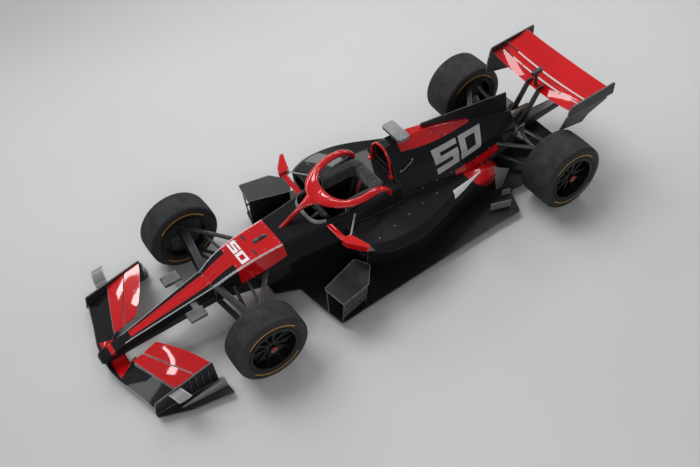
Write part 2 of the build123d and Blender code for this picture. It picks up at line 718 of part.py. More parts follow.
REAR_PLATE_TOP = ((-223, 905), (-REAR_OVERHANG, 938), (8 - REAR_OVERHANG, 790), (-190, 790), (-200, 850))
REAR_PLATE_FOOT = ((12 - REAR_OVERHANG, 804), (-500, 665), (-450, 575), (-130, 640), (-185, 804))
PYLON_Y = 80
PYLON_T = 14
ACTUATOR_X = (-245, -375)
ACTUATOR_Z = (905, 943)


def rear_main_form(grow=0.0):
    return blade(mirrored(REAR_MAIN_ROWS), RA, REAR_MAIN_T, REAR_MAIN_CAMBER, grow)


rear_main_tool = rear_main_form(SEAT)


def rear_main():
    """Mainplane and the narrow slat behind it, joined by slot separators."""
    slat = blade(mirrored(REAR_SLAT_ROWS), RA, REAR_SLAT_T, REAR_SLAT_CAMBER)
    ties = []
    for y in REAR_TIE_Y:
        start = chord_point(row_at(REAR_MAIN_ROWS, y), RA, 0.85, REAR_MAIN_CAMBER)
        end = chord_point(row_at(REAR_SLAT_ROWS, y), RA, 0.3, REAR_SLAT_CAMBER)
        ties += both(tie(start, end))
    return fuse(rear_main_form(), slat, *ties)


def rear_flap():
    flap = blade(mirrored(REAR_FLAP_ROWS), RA, REAR_FLAP_T, REAR_FLAP_CAMBER)
    x, z = REAR_PIN.X, REAR_PIN.Z
    for bore in both(rod((x, REAR_TIP + 1, z), (x, REAR_TIP - PIVOT_REACH - 2, z), PIVOT_R + SEAT)):
        flap -= bore
    return flap


def leaning(p):
    """Place a point of the endplate's lower part, which leans in below the knee."""
    return Vector(p.X, HALF_REAR + (p.Y - REAR_KNEE) * REAR_LEAN, p.Y)


def rear_endplates():
    board = plate([(RA + x, z) for x, z in REAR_PLATE_TOP], 22, side(HALF_REAR), (0, ENDPLATE_T, 0))
    board = board - block(-FAR, FAR, -FAR, FAR, 0, REAR_KNEE)
    skirt = plate([(RA + x, z) for x, z in REAR_PLATE_FOOT], 22, leaning, (0, ENDPLATE_T, 0))
    skirt = skirt - block(-FAR, FAR, -FAR, FAR, REAR_KNEE, FAR)
    x, z = REAR_PIN.X, REAR_PIN.Z
    pin = rod((x, HALF_REAR + 2, z), (x, REAR_TIP - PIVOT_REACH, z), PIVOT_R)
    return both(fuse(board, skirt, pin))


def rear_pylons():
    foot = GEARBOX_ROWS[1][1][0][1] + SEAT
    outline = [(RA - 15, foot), (RA - 112, foot), (RA - 345, 792), (RA - 265, 792)]
    return both(largest(plate(outline, 4, side(PYLON_Y - PYLON_T / 2), (0, PYLON_T, 0)) - rear_main_tool))


def flap_actuator():
    front, rear = [RA + x for x in ACTUATOR_X]
    points = [(front, -20), (front, 20), (rear, 20), (rear, -20)]
    pod = plate(points, 14, plan(ACTUATOR_Z[0]), (0, 0, ACTUATOR_Z[1] - ACTUATOR_Z[0]))
    mast = block(front - 80, front - 45, -6, 6, 700, ACTUATOR_Z[0] + 4)
    return largest(fuse(pod, mast) - rear_main_tool)


# Wheels; drawn about the Y axis, the left one's outer face towards +Y
def tyre(diameter, width):
    radius, half = diameter / 2, width / 2
    bore = BEAD_R + SEAT
    bead = half - BEAD_INSET
    shoulder = (radius - 28, half - 7)
    tread = (radius - 4, half - 40)
    corner = (radius - 10, half - 17)
    widest = (bore + shoulder[0]) / 2
    edges = []
    for s in (-1, 1):
        wide = Vector(widest, s * half, 0)
        edges.append(Edge.make_tangent_arc(wide, (-1, 0, 0), (bore, s * bead, 0)))
        edges.append(Edge.make_tangent_arc(wide, (1, 0, 0), (shoulder[0], s * shoulder[1], 0)))
        bend = [(r, s * y, 0) for r, y in (shoulder, corner, tread)]
        edges.append(Edge.make_three_point_arc(*bend))
    edges.append(Edge.make_three_point_arc((tread[0], -tread[1], 0), (radius, 0, 0), (tread[0], tread[1], 0)))
    edges.append(Edge.make_line((bore, bead, 0), (bore, -bead, 0)))
    return Solid.revolve(Face(Wire(edges)), 360, Axis.Y)


FRONT_HUB = (FA, FRONT_Y, FRONT_TYRE_D / 2)
REAR_HUB = (RA, REAR_Y, REAR_TYRE_D / 2)
SPINDLE_END = FRONT_TYRE_W / 2 - BEAD_INSET - SPOKE_INSET - 22


def turned(points):
    """Solid turned about the Y axis from (radius, y) corners."""
    wire = Wire.make_polygon([Vector(r, y, 0) for r, y in points])
    return Solid.revolve(Face(wire), 360, Axis.Y)


def rim(width):
    bead = width / 2 - BEAD_INSET
    flange = bead + FLANGE_GAP
    lip = flange + FLANGE_T
    barrel = turned([(BARREL_R, -lip), (FLANGE_R, -lip), (FLANGE_R, -flange), (BEAD_R, -flange),
                     (BEAD_R, flange), (FLANGE_R, flange), (FLANGE_R, lip), (BARREL_R, lip)])
    face = bead - SPOKE_INSET
    hub = turned([(0, -HUB_REACH), (HUB_R, -HUB_REACH), (HUB_R, face), (NUT_R, face + 16), (NUT_R, lip - 8),
                  (0, lip - 8)])
    spoke = [(HUB_R - 4, -16), (BARREL_R + 3, -9), (BARREL_R + 3, 9), (HUB_R - 4, 16)]
    bar = plate(spoke, 1, side(face - SPOKE_T), (0, SPOKE_T, 0))
    return fuse(barrel, hub, *[bar.rotate(Axis.Y, 360 / SPOKES * i) for i in range(SPOKES)])


def front_rim():
    """Rim with the blind bore that turns on the spindle."""
    bore = rod((0, -HUB_REACH - 1, 0), (0, SPINDLE_END + 2, 0), SPINDLE_R + SEAT)
    return rim(FRONT_TYRE_W) - bore


def placed(shape, x, y, z):
    return Pos(x, y, z) * shape


def front_upright():
    """Upright with kingpin studs, steering arm, spindle, drum and brake scoop."""
    x, wheel_y, axle_z = FRONT_HUB
    start = KINGPIN_Y + BALL_R + RUN
    body = block(x - 40, x + 40, KINGPIN_Y - UPRIGHT_T / 2, start + 4, UPRIGHT_FOOT, UPRIGHT_TOP)
    pins = [rod((x, KINGPIN_Y, UPRIGHT_FOOT - BALL_H), (x, KINGPIN_Y, UPRIGHT_FOOT + 1), PIN_R),
            rod((x, KINGPIN_Y, UPRIGHT_TOP - 1), (x, KINGPIN_Y, UPRIGHT_TOP + BALL_H), PIN_R)]
    lug = [(x - 30, KINGPIN_Y + 18), (x - 30, KINGPIN_Y - 18), (x + STEER_ARM_X - 10, STEER_ARM_Y - 14),
           (x + STEER_ARM_X - 14, STEER_ARM_Y + 12)]
    steer = plate(lug, 5, plan(STEER_ARM_TOP - STEER_ARM_T), (0, 0, STEER_ARM_T))
    drum = rod((x, start, axle_z), (x, wheel_y + 45, axle_z), DRUM_R)
    recess = rod((x, wheel_y - HUB_REACH - RUN, axle_z), (x, wheel_y + 46, axle_z), DRUM_RECESS_R)
    spindle = rod((x, start, axle_z), (x, wheel_y + SPINDLE_END, axle_z), SPINDLE_R)
    low, high = axle_z - 60, axle_z + 66
    mouth = [(start - 72, low), (start + 2, low), (start + 2, high), (start - 72, high)]
    throat = [(start - 62, low + 10), (start - 8, low + 10), (start - 8, high - 10), (start - 62, high - 10)]
    scoop = plate(mouth, 16, across(x + 60), (90, 0, 0)) - plate(throat, 10, across(x + 80), (80, 0, 0))
    return fuse(fuse(drum - recess, spindle), body, *pins, steer, scoop)


def rear_upright():
    x, wheel_y, axle_z = REAR_HUB
    start = REAR_UPRIGHT_Y + UPRIGHT_T
    body = block(x - 55, x + 55, REAR_UPRIGHT_Y, start + 2, REAR_BALL_FOOT - 26, REAR_BALL_TOP + 24)
    drum = rod((x, start, axle_z), (x, wheel_y + 45, axle_z), DRUM_R)
    recess = rod((x, start + 20, axle_z), (x, wheel_y + 46, axle_z), DRUM_RECESS_R)
    bore = rod((x, REAR_UPRIGHT_Y - 1, axle_z), (x, start + 30, axle_z), STUB_R + SEAT)
    return fuse(body, drum - recess) - bore


def driveshaft():
    """Shaft with a joint at each end and the stub that carries the rear hub."""
    x, wheel_y, axle_z = REAR_HUB
    inner = GEARBOX_ROWS[1][1][0][0] + 4
    outer = REAR_UPRIGHT_Y - 10
    hub = wheel_y - HUB_REACH - SEAT
    profile = [(0, inner), (JOINT_R, inner), (JOINT_R, inner + 40), (SHAFT_R, inner + 95),
               (SHAFT_R, outer - 95), (JOINT_R, outer - 40), (JOINT_R, outer), (STUB_R, outer), (STUB_R, hub),
               (0, hub)]
    return placed(turned(profile), x, 0, axle_z)


# Front wishbones, left; columns: ball height, then inner end of the front and rear leg
# (x from the front axle, y, z), then chord
TOP_Z = UPRIGHT_TOP + SEAT + BALL_H / 2
FOOT_Z = UPRIGHT_FOOT - SEAT - BALL_H / 2
FRONT_UPPER = (TOP_Z, (95, 90, 478), (-400, 180, 460), 72)
FRONT_LOWER = (FOOT_Z, (110, 60, 300), (-360, 120, 255), 56)


def legs_of(ball_z, front_end, rear_end, chord, grow=0.0):
    """Front and rear leg of a wishbone, from its ball joint to inside the body."""
    ends = ((front_end, chord), (rear_end, chord * 0.7))
    start = (FA, KINGPIN_Y, ball_z)
    return [arm(start, (FA + x, y, z), wide + 2 * grow, BALL_H - 2 + 2 * grow) for (x, y, z), wide in ends]


def front_wishbone(ball_z, front_end, rear_end, chord):
    x, y = FA, KINGPIN_Y
    eye = rod((x, y, ball_z - BALL_H / 2), (x, y, ball_z + BALL_H / 2), BALL_R)
    bore = rod((x, y, ball_z - BALL_H), (x, y, ball_z + BALL_H), PIN_R + SEAT)
    legs = legs_of(ball_z, front_end, rear_end, chord)
    swing = rod((x, y, UPRIGHT_FOOT - SEAT), (x, y, UPRIGHT_TOP + SEAT), UPRIGHT_SWING)
    bone = fuse(eye, *legs) - bore - tub_tool - nose_tool - swing
    return both(largest(bone))


def front_wishbones():
    return front_wishbone(*FRONT_UPPER) + front_wishbone(*FRONT_LOWER)


def front_pushrods():
    """Rods from the lower wishbones up to the rockers inside the nose."""
    bar = arm((FA - 6, KINGPIN_Y - 50, FOOT_Z), (FA - 60, 60, 490), 34, 18)
    for leg in legs_of(*FRONT_LOWER, grow=SEAT):
        bar = bar - leg
    return both(largest(bar - tub_tool - nose_tool - block(-FAR, FAR, -FAR, FAR, 0, FOOT_Z)))


def track_rods():
    eye_low = STEER_ARM_TOP + SEAT
    end = (FA + STEER_ARM_X, STEER_ARM_Y, eye_low + ROD_R)
    eye = rod((end[0], end[1], eye_low), (end[0], end[1], eye_low + 2 * ROD_R), 14)
    bar = arm(end, (FA - 190, 100, 448), 30, 2 * ROD_R - 1)
    return both(largest(fuse(bar, eye) - tub_tool))


gearbox_tool = gearbox(SEAT)


# Rear links, left; columns: outer end (x, z), inner end (x, y, z), chord, thickness
REAR_LINK_ROWS = (
    ((28, REAR_BALL_TOP), (420, 120, 470), 54, 18),
    ((-28, REAR_BALL_TOP), (-40, 40, 390), 46, 18),
    ((30, REAR_BALL_FOOT), (330, 40, 250), 50, 16),
    ((-30, REAR_BALL_FOOT), (-80, 30, 320), 44, 16),
)


def rear_links():
    face = block(-FAR, FAR, REAR_UPRIGHT_Y - SEAT, FAR, 0, FAR)
    links = []
    for (x, z), inner, chord, thick in REAR_LINK_ROWS:
        bar = arm((RA + x, REAR_UPRIGHT_Y + 20, z), (RA + inner[0], inner[1], inner[2]), chord, thick)
        links += both(largest(bar - face - gearbox_tool - cover_tool - pod_tool))
    return links


os.makedirs("parts", exist_ok=True)
save("nose", nose)
save("monocoque", tub)
save("headrest", headrest())
save("seat", seat())
save("harness", *harness())
save("steering_wheel", steering_wheel())
save("steering_column", steering_column())
save("halo", halo())
save("mirrors", *mirrors())
save("engine_cover", engine_cover())
save("shark_fin", shark_fin())
save("onboard_camera", onboard_camera())
save("floor", floor())
save("floor_fins", *floor_fins())
save("plank", plank())
save("diffuser", diffuser())
save("power_unit", power_unit())
save("gearbox", gearbox())
save("crash_structure", crash_structure())
save("rain_light", rain_light())
save("exhaust", exhaust())
save("front_wing_mainplane", front_wing())
save("front_wing_endplates", *front_endplates())
save("nose_cameras", *nose_cameras())
save("rear_wing_mainplane", rear_main())
save("rear_wing_flap", rear_flap())
save("rear_wing_endplates", *rear_endplates())
save("rear_wing_pylons", *rear_pylons())
save("flap_actuator", flap_actuator())
save("front_wishbones", *front_wishbones())
save("front_rods", *front_pushrods(), *track_rods())
save("rear_links", *rear_links())
for label, piece in zip(("left", "right"), both(sidepod())):
    save(f"sidepod_{label}", piece)
save("bargeboards", *both(bargeboards()))
for label, piece in zip(("left", "right"), both(front_flap())):
    save(f"front_flap_{label}", piece)
for label, piece in zip(("left", "right"), both(front_upright())):
    save(f"front_upright_{label}", piece)
save("rear_uprights", *both(rear_upright()))
for label, piece in zip(("left", "right"), both(driveshaft())):
    save(f"driveshaft_{label}", piece)
for end, hub, ring, wheel in (("front", FRONT_HUB, tyre(FRONT_TYRE_D, FRONT_TYRE_W), front_rim()),
                              ("rear", REAR_HUB, tyre(REAR_TYRE_D, REAR_TYRE_W), rim(REAR_TYRE_W))):
    for kind, shape in (("tyre", ring), ("rim", wheel)):
        for label, piece in zip(("left", "right"), both(placed(shape, *hub))):
            save(f"{end}_{kind}_{label}", piece)
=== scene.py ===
import json
import math
from functools import reduce

import bmesh
import bpy
from mathutils import Matrix, Vector
from mathutils.bvhtree import BVHTree


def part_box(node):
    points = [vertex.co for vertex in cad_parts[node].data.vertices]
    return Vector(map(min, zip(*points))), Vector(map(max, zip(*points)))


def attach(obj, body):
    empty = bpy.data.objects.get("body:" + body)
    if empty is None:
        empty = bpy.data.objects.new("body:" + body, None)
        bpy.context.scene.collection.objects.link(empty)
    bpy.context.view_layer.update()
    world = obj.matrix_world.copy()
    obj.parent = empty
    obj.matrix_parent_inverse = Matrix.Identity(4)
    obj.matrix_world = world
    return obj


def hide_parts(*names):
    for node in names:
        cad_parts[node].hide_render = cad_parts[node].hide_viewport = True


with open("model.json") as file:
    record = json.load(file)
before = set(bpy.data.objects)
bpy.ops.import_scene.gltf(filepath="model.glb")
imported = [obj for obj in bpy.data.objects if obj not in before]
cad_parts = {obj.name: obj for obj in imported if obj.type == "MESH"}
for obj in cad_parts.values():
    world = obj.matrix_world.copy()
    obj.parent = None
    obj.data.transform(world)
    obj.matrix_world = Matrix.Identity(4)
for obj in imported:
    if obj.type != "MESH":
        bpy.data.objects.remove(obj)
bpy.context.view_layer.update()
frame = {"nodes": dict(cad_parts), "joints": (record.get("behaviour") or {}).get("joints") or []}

# The frame
NODES = frame["nodes"]
JOINT = {joint["name"]: joint for joint in frame["joints"]}
FRONT_HUB = Vector(JOINT["front_wheel_left_spin"]["pos_m"])
REAR_HUB = Vector(JOINT["rear_wheel_left_spin"]["pos_m"])
FA, RA = FRONT_HUB.x, REAR_HUB.x  # front and rear axle
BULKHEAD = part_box("monocoque")[0][0]  # rear end of the survival cell
PLATE_T = 0.0123  # front endplate with its seat
PLATE_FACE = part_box("front_wing_mainplane")[1][1] + PLATE_T
SIDES = (("left", 1), ("right", -1))
SCENE = bpy.context.scene
AHEAD, ACROSS, UP = Vector((1, 0, 0)), Vector((0, 1, 0)), Vector((0, 0, 1))

# Camera, placed as the photograph was taken: metres and degrees
CAMERA_AT = Vector((FA + 2.002, 5.726, 7.408))
CAMERA_TURNS = (-120.75, -47.77, -4.72)  # yaw, pitch, roll
CAMERA_LENS, CAMERA_SENSOR = 52.2, 36.0  # millimetres

# Colours
RED = (0.52, 0.004, 0.006)
DEEP_RED = (0.42, 0.003, 0.005)
# Paler red along the edges of red paint: partly wear, partly a painted highlight
RED_WEAR_AND_SHEEN = (0.70, 0.14, 0.14)
BLACK = (0.007, 0.007, 0.008)
SOFT_BLACK = (0.013, 0.013, 0.0145)
# Paler grey along the edges of bare carbon: partly wear, partly a painted highlight
CARBON_EDGE = (0.16, 0.16, 0.165)
PALE = (0.60, 0.61, 0.62)
WHITE = (0.78, 0.78, 0.77)
GREY = (0.055, 0.057, 0.06)
AMBER = (0.55, 0.27, 0.03)
# Paler grey along the edges of plates and lacquered carbon, partly wear and partly a painted highlight; also
# a tow colour of the mirror stays
PLATE_EDGE = (0.36, 0.365, 0.37)
# Grey lift of the canards and floor vanes, a painted reflection; also a tow colour of the mirror stays
CANARD_GREY = (0.20, 0.203, 0.207)
# Lighter grey of the camera housings and floor vanes, a painted reflection
POD_GREY = (0.13, 0.132, 0.135)
BLACK_TOWS = (BLACK, SOFT_BLACK)
SATIN_TOWS = ((0.016, 0.016, 0.0175), (0.024, 0.024, 0.026))

# Surfaces
CARBON_COAT = 0.2  # share of clear coat on bare carbon
WING_COAT = 0.6  # and on the front mainplane
PAINT_ROUGHNESS = (0.20, 0.28)
TOW_PITCH = 0.005  # of the carbon twill, metres
NOISE_SPAN = (0.3, 0.7)  # where most noise values lie
EDGE_COSINES = (0.97, 0.78)  # of plain and rounded normal, on faces and edges


def new_object(name, data):
    obj = bpy.data.objects.new(name, data)
    SCENE.collection.objects.link(obj)
    return obj


def make_camera():
    data = bpy.data.cameras.new("camera")
    data.lens = CAMERA_LENS
    data.sensor_width = CAMERA_SENSOR
    camera = new_object("camera", data)
    yaw, pitch, roll = [math.radians(a) for a in CAMERA_TURNS]
    quarter = math.pi / 2
    turn = Matrix.Rotation(yaw - quarter, 4, "Z") @ Matrix.Rotation(pitch + quarter, 4, "X")
    camera.matrix_world = Matrix.Translation(CAMERA_AT) @ turn @ Matrix.Rotation(roll, 4, "Z")
    SCENE.camera = camera


make_camera()


class Nodes:
    """Short names for the nodes of one material."""

    def __init__(self, name, **sockets):
        self.material = bpy.data.materials.new(name)
        self.material.use_nodes = True
        self.tree = self.material.node_tree
        self.shader = self.tree.nodes["Principled BSDF"]
        self.coords = self.node("ShaderNodeTexCoord").outputs["Object"]
        for socket, value in sockets.items():
            self.set(socket.replace("_", " ").title().replace("Ior", "IOR"), value)

    def node(self, kind, *values, **settings):
        """New node; values go to its inputs in order, None skips one."""
        node = self.tree.nodes.new(kind)
        for key, value in settings.items():
            setattr(node, key, value)
        for socket, value in zip(node.inputs, values):
            self.feed(value, socket)
        return node

    def feed(self, value, socket):
        """Link a socket, or set a number or a colour."""
        if isinstance(value, bpy.types.NodeSocket):
            self.tree.links.new(value, socket)
        elif value is not None:
            socket.default_value = (*value, 1) if isinstance(value, tuple) else value

    def set(self, socket, value):
        self.feed(value, self.shader.inputs[socket])

    def finish(self, colour, roughness=None):
        """Set colour and roughness; gives the material."""
        self.set("Base Color", colour)
        self.set("Roughness", roughness)
        return self.material

    def place(self):
        """Object coordinates, which are the car's own, in metres."""
        return self.node("ShaderNodeSeparateXYZ", self.coords).outputs

    def math(self, operation, *values):
        return self.node("ShaderNodeMath", *values, operation=operation).outputs[0]

    def size(self, value):
        return self.math("ABSOLUTE", value)

    def wave(self, value, turn):
        """Sine of a length, turn being radians per metre."""
        return self.math("SINE", self.math("MULTIPLY", value, turn))

    def both(self, *masks):
        return reduce(lambda a, b: self.math("MULTIPLY", a, b), masks)

    def either(self, *masks):
        return reduce(lambda a, b: self.math("MAXIMUM", a, b), masks)

    def above(self, value, low):
        return self.math("GREATER_THAN", value, low)

    def below(self, value, high):
        return self.math("LESS_THAN", value, high)

    def between(self, value, low, high):
        return self.both(self.above(value, low), self.below(value, high))

    def off_line(self, value, middle, half):
        """1 further than half from middle, 0 on the line."""
        return self.above(self.size(self.math("SUBTRACT", value, middle)), half)

    def line(self, value, start, end):
        """Straight line through two (value, result) points."""
        return self.fit(value, start[0], end[0], start[1], end[1], False)

    def noise(self, scale, detail=3.0, rough=0.5):
        return self.node("ShaderNodeTexNoise", self.coords, None, scale, detail, rough).outputs["Fac"]

    def fit(self, value, low, high, new_low, new_high, clamp=True):
        node = self.node("ShaderNodeMapRange", value, low, high, new_low, new_high, clamp=clamp)
        return node.outputs[0]

    def mottle(self, scale, low=0.0, high=1.0, detail=3.0):
        """Noise spread from low to high."""
        return self.fit(self.noise(scale, detail), *NOISE_SPAN, low, high)

    def mix(self, factor, a, b):
        """Colours a and b, which are the node's inputs after five of other kinds."""
        return self.node("ShaderNodeMix", factor, *[None] * 5, a, b, data_type="RGBA").outputs[2]

    def edge(self, radius):
        """1 along the sharp edges of a piece, 0 on its faces."""
        soft = self.node("ShaderNodeBevel", radius, samples=4).outputs[0]
        flat = self.node("ShaderNodeNewGeometry").outputs["Normal"]
        facing = self.node("ShaderNodeVectorMath", soft, flat, operation="DOT_PRODUCT").outputs["Value"]
        return self.fit(facing, *EDGE_COSINES, 0, 1)

    def normal(self):
        """Parts of the normal of each face, along the car's axes."""
        normal = self.node("ShaderNodeNewGeometry").outputs["True Normal"]
        return self.node("ShaderNodeSeparateXYZ", normal).outputs

    def bump(self, height, strength, distance):
        node = self.node("ShaderNodeBump")
        for socket, value in (("Height", height), ("Strength", strength), ("Distance", distance)):
            self.feed(value, node.inputs[socket])
        self.set("Normal", node.outputs["Normal"])

    def weave(self, pitch):
        """Twill of crossing tows, from 0 to 1."""
        x, y, z = self.place()
        turn = 2 * math.pi / pitch
        warp_at = self.math("ADD", x, self.math("ADD", y, z))
        weft_at = self.math("SUBTRACT", x, self.math("SUBTRACT", y, z))
        crossing = self.both(self.wave(warp_at, turn), self.wave(weft_at, turn))
        return self.math("MULTIPLY_ADD", crossing, 0.5, 0.5)


# Materials
def bare_carbon(name):
    return Nodes(name, specular_ior_level=0.3, coat_weight=CARBON_COAT, coat_roughness=0.08)


def carbon(name, tows, edge_width=0.005, edge_colour=CARBON_EDGE, roughness=(0.30, 0.42)):
    """Lacquered carbon fibre: faint twill, paler along its edges, partly as wear and partly as a painted
    highlight.
    """
    n = bare_carbon(name)
    face = n.mix(n.weave(TOW_PITCH), *tows)
    return n.finish(n.mix(n.edge(edge_width), face, edge_colour), n.mottle(5, *roughness))


CANARD_OFF, CANARD_LOW = PLATE_FACE + 0.004, 0.19  # where the canards start, sideways and up


def plate_carbon():
    """Carbon endplates with pale edges, partly wear and partly a painted highlight, and canards lightened
    grey as a painted reflection.
    """
    n = bare_carbon("plate_carbon")
    _, y, z = n.place()
    fibre = n.mix(n.weave(TOW_PITCH), SOFT_BLACK, SATIN_TOWS[1])
    canard_sheen = n.both(n.above(n.size(y), CANARD_OFF), n.above(z, CANARD_LOW))
    face = n.mix(canard_sheen, fibre, CANARD_GREY)
    return n.finish(n.mix(n.edge(0.009), face, PLATE_EDGE), n.mottle(5, 0.28, 0.38))


def red_tone(n):
    """Slow drift between two reds."""
    return n.mix(n.mottle(2, detail=2), DEEP_RED, RED)


def lacquer(n, mask, trim=None, tows=BLACK_TOWS, coat=CARBON_COAT, lit=None):
    """Red paint where mask is 1, lacquered carbon elsewhere, paler along the edges as wear and as a painted
    highlight.

    Paint turns black where trim is 0, and everything turns pale by the share in lit, which is a painted
    highlight.
    """
    # Edges turn paler: partly wear, partly a painted highlight
    rim = n.math("MULTIPLY", n.edge(0.006), 0.6)
    fibre = n.mix(rim, n.mix(n.weave(TOW_PITCH), *tows), PLATE_EDGE)
    paint = n.mix(rim, red_tone(n), RED_WEAR_AND_SHEEN)
    if trim:
        paint = n.mix(trim, BLACK, paint)
    colour = n.mix(mask, fibre, paint)
    if lit:
        colour = n.mix(lit, colour, PALE)
    n.set("Coat Weight", n.fit(mask, 0, 1, coat, 1))
    return n.finish(colour, n.mottle(6, *PAINT_ROUGHNESS))


def painted(name):
    return Nodes(name, specular_ior_level=0.05, coat_weight=1.0, coat_roughness=0.03)


def red_paint():
    n = painted("red_paint")
    # Edges turn paler: partly wear, partly a painted highlight
    return n.finish(n.mix(n.math("MULTIPLY", n.edge(0.004), 0.4), red_tone(n), RED_WEAR_AND_SHEEN),
                    n.mottle(6, *PAINT_ROUGHNESS))


# Livery; runs are stretches ahead of the front axle, edges go through two (ahead, off or up) points
STRIPE_RUN, STRIPE_EDGE = (-0.12, 0.93), ((0.93, 0.034), (-0.12, 0.082))
PANEL_RUN, PANEL_EDGE = (-0.585, -0.12), ((0.12, 0.122), (-0.58, 0.186))
FLANK_FOOT = ((-0.12, 0.44), (-0.585, 0.54))
TIP_RUN, TIP_LOW = (1.108, 1.148), 0.225
PIN_RUN, PIN_OFF, PIN_HALF = (-0.09, 1.0), 0.037, 0.0022
# Painted highlight: pale lines on the rounded shoulders of the nose and tub, where a reflection runs along
# them
SHOULDER_HIGHLIGHT_RUN, SHOULDER_HIGHLIGHT_SHARE = (-0.58, 1.0), 0.65
SHOULDER_HIGHLIGHT_LEAN, SHOULDER_HIGHLIGHT_RISE = (0.15, 0.8), 0.4  # parts of the normal, sideways and up
SADDLE_RUN, SADDLE_EDGE = (-2.82, -1.95), ((-2.145, 0.906), (-2.80, 0.787))
TAIL_RUN, TAIL_EDGE = (-3.06, -2.46), ((-2.47, 0.53), (-3.05, 0.50))
COVER_SEAM, COVER_SEAM_SLOPE, COVER_SEAM_HALF = -2.29, 1.35, 0.006
PATCH_FRONT, PATCH_REAR = ((0.30, -2.47), (0.42, -2.55)), -3.03  # the front by (off, ahead)
PATCH_FOOT, PATCH_LOW = ((-2.55, 0.445), (-2.764, 0.227)), 0.21
HOOD_RUN, HOOD_EDGE, HOOD_FOOT = (1.015, 1.172), ((1.04, 0.17), (1.17, 0.235)), ((1.02, 0.112), (1.17, 0.094))
STAY_FRONT, STAY_OFF = BULKHEAD + 0.742, 0.525


def livery(name):
    """Paint, and places ahead of the front axle, off the middle and up."""
    n = painted(name)
    x, y, z = n.place()
    return n, n.math("SUBTRACT", x, FA), n.size(y), z


def nose_livery():
    """Red stripe that widens to a red panel before the cockpit, and painted highlights as pale lines on the
    shoulders.
    """
    n, ahead, off, up = livery("nose_livery")
    on_stripe = n.both(n.below(off, n.line(ahead, *STRIPE_EDGE)), n.between(ahead, *STRIPE_RUN))
    edge = n.line(ahead, *PANEL_EDGE)
    in_panel = n.between(ahead, *PANEL_RUN)
    on_panel = n.both(n.below(off, edge), in_panel)
    flank = n.both(n.above(up, n.line(ahead, *FLANK_FOOT)), in_panel, n.above(off, edge))
    tip = n.both(n.between(ahead, *TIP_RUN), n.above(up, TIP_LOW))
    past_pin = n.either(n.below(ahead, PIN_RUN[0]), n.above(ahead, PIN_RUN[1]))
    beside_pin = n.either(n.off_line(off, PIN_OFF, PIN_HALF), past_pin)
    # Painted highlight: faces leaning sideways and up along the shoulders turn pale
    _, sideways, rise = n.normal()
    shoulder = n.both(n.between(n.size(sideways), *SHOULDER_HIGHLIGHT_LEAN), n.above(rise, SHOULDER_HIGHLIGHT_RISE),
                      n.between(ahead, *SHOULDER_HIGHLIGHT_RUN), SHOULDER_HIGHLIGHT_SHARE)
    return lacquer(n, n.either(on_stripe, on_panel, flank, tip), beside_pin, lit=shoulder)


def cover_livery():
    """Red saddle along the spine and red lower flanks towards the tail."""
    n, ahead, off, up = livery("cover_livery")
    saddle = n.both(n.above(up, n.line(ahead, *SADDLE_EDGE)), n.between(ahead, *SADDLE_RUN))
    tail = n.both(n.below(up, n.line(ahead, *TAIL_EDGE)), n.between(ahead, *TAIL_RUN))
    slanted = n.math("MULTIPLY_ADD", off, COVER_SEAM_SLOPE, ahead)
    return lacquer(n, n.either(saddle, tail), n.off_line(slanted, COVER_SEAM, COVER_SEAM_HALF))


def pod_livery():
    """Red patch on the falling tail of each sidepod."""
    n, ahead, off, up = livery("pod_livery")
    front = n.below(ahead, n.line(off, *PATCH_FRONT))
    foot = n.math("MAXIMUM", n.line(ahead, *PATCH_FOOT), PATCH_LOW)
    return lacquer(n, n.both(front, n.above(ahead, PATCH_REAR), n.above(up, foot)))


def wing_livery():
    """Dark mainplane with red paint on each side of the nose."""
    n, ahead, off, up = livery("wing_livery")
    hood = n.both(n.below(off, n.line(ahead, *HOOD_EDGE)), n.between(ahead, *HOOD_RUN),
                  n.above(up, n.line(ahead, *HOOD_FOOT)))
    return lacquer(n, hood, coat=WING_COAT)


def mirror_livery():
    """Red housings and stalks, pale stays."""
    n = painted("mirror_livery")
    x, y, _ = n.place()
    stay = n.both(n.below(x, STAY_FRONT), n.below(n.size(y), STAY_OFF))
    return lacquer(n, n.math("SUBTRACT", 1.0, stay), tows=(CANARD_GREY, PLATE_EDGE))


# Tyre: tread edge in from the tyre's radius, amber band on the wall, moulded rings
TREAD_EDGE = (0.022, 0.008)
BAND_RADII, BAND_ARC = (0.274, 0.283), 0.62  # the arcs end at this sine
RING_TURN = 520  # radians per metre


def rubber(name, hub):
    """Slick rubber: scuffed tread, smoother wall with two plain amber arcs."""
    n = Nodes(name, specular_ior_level=0.35)
    x, _, z = n.place()
    along = n.math("SUBTRACT", x, hub.x)
    up = n.math("SUBTRACT", z, hub.z)
    out = n.math("SQRT", n.math("ADD", n.both(along, along), n.both(up, up)))
    tread = n.fit(out, hub.z - TREAD_EDGE[0], hub.z - TREAD_EDGE[1], 0, 1)
    scuff = n.fit(n.noise(9, 6, 0.65), 0.35, 0.7, 0, 1)
    worn = n.mix(scuff, (0.016, 0.016, 0.017), (0.036, 0.037, 0.039))
    wall = n.mix(n.noise(14, 3), (0.012, 0.012, 0.013), (0.022, 0.022, 0.023))
    arcs = n.above(n.size(n.math("DIVIDE", up, out)), BAND_ARC)
    band = n.both(n.between(out, *BAND_RADII), arcs)
    rings = n.math("MULTIPLY", n.wave(out, RING_TURN), 0.2)
    n.bump(n.mix(tread, rings, n.noise(160)), 0.2, 0.0008)
    return n.finish(n.mix(tread, n.mix(band, wall, AMBER), worn), n.fit(tread, 0, 1, 0.55, 0.82))


def metal(name, colour, dark, roughness, grain=40, metallic=0.9):
    """Bare or coated metal with a fine uneven finish."""
    n = Nodes(name, metallic=metallic)
    return n.finish(n.mix(n.mottle(grain, detail=5), dark, colour),
                    n.mottle(grain * 2, roughness - 0.07, roughness + 0.1, 4))


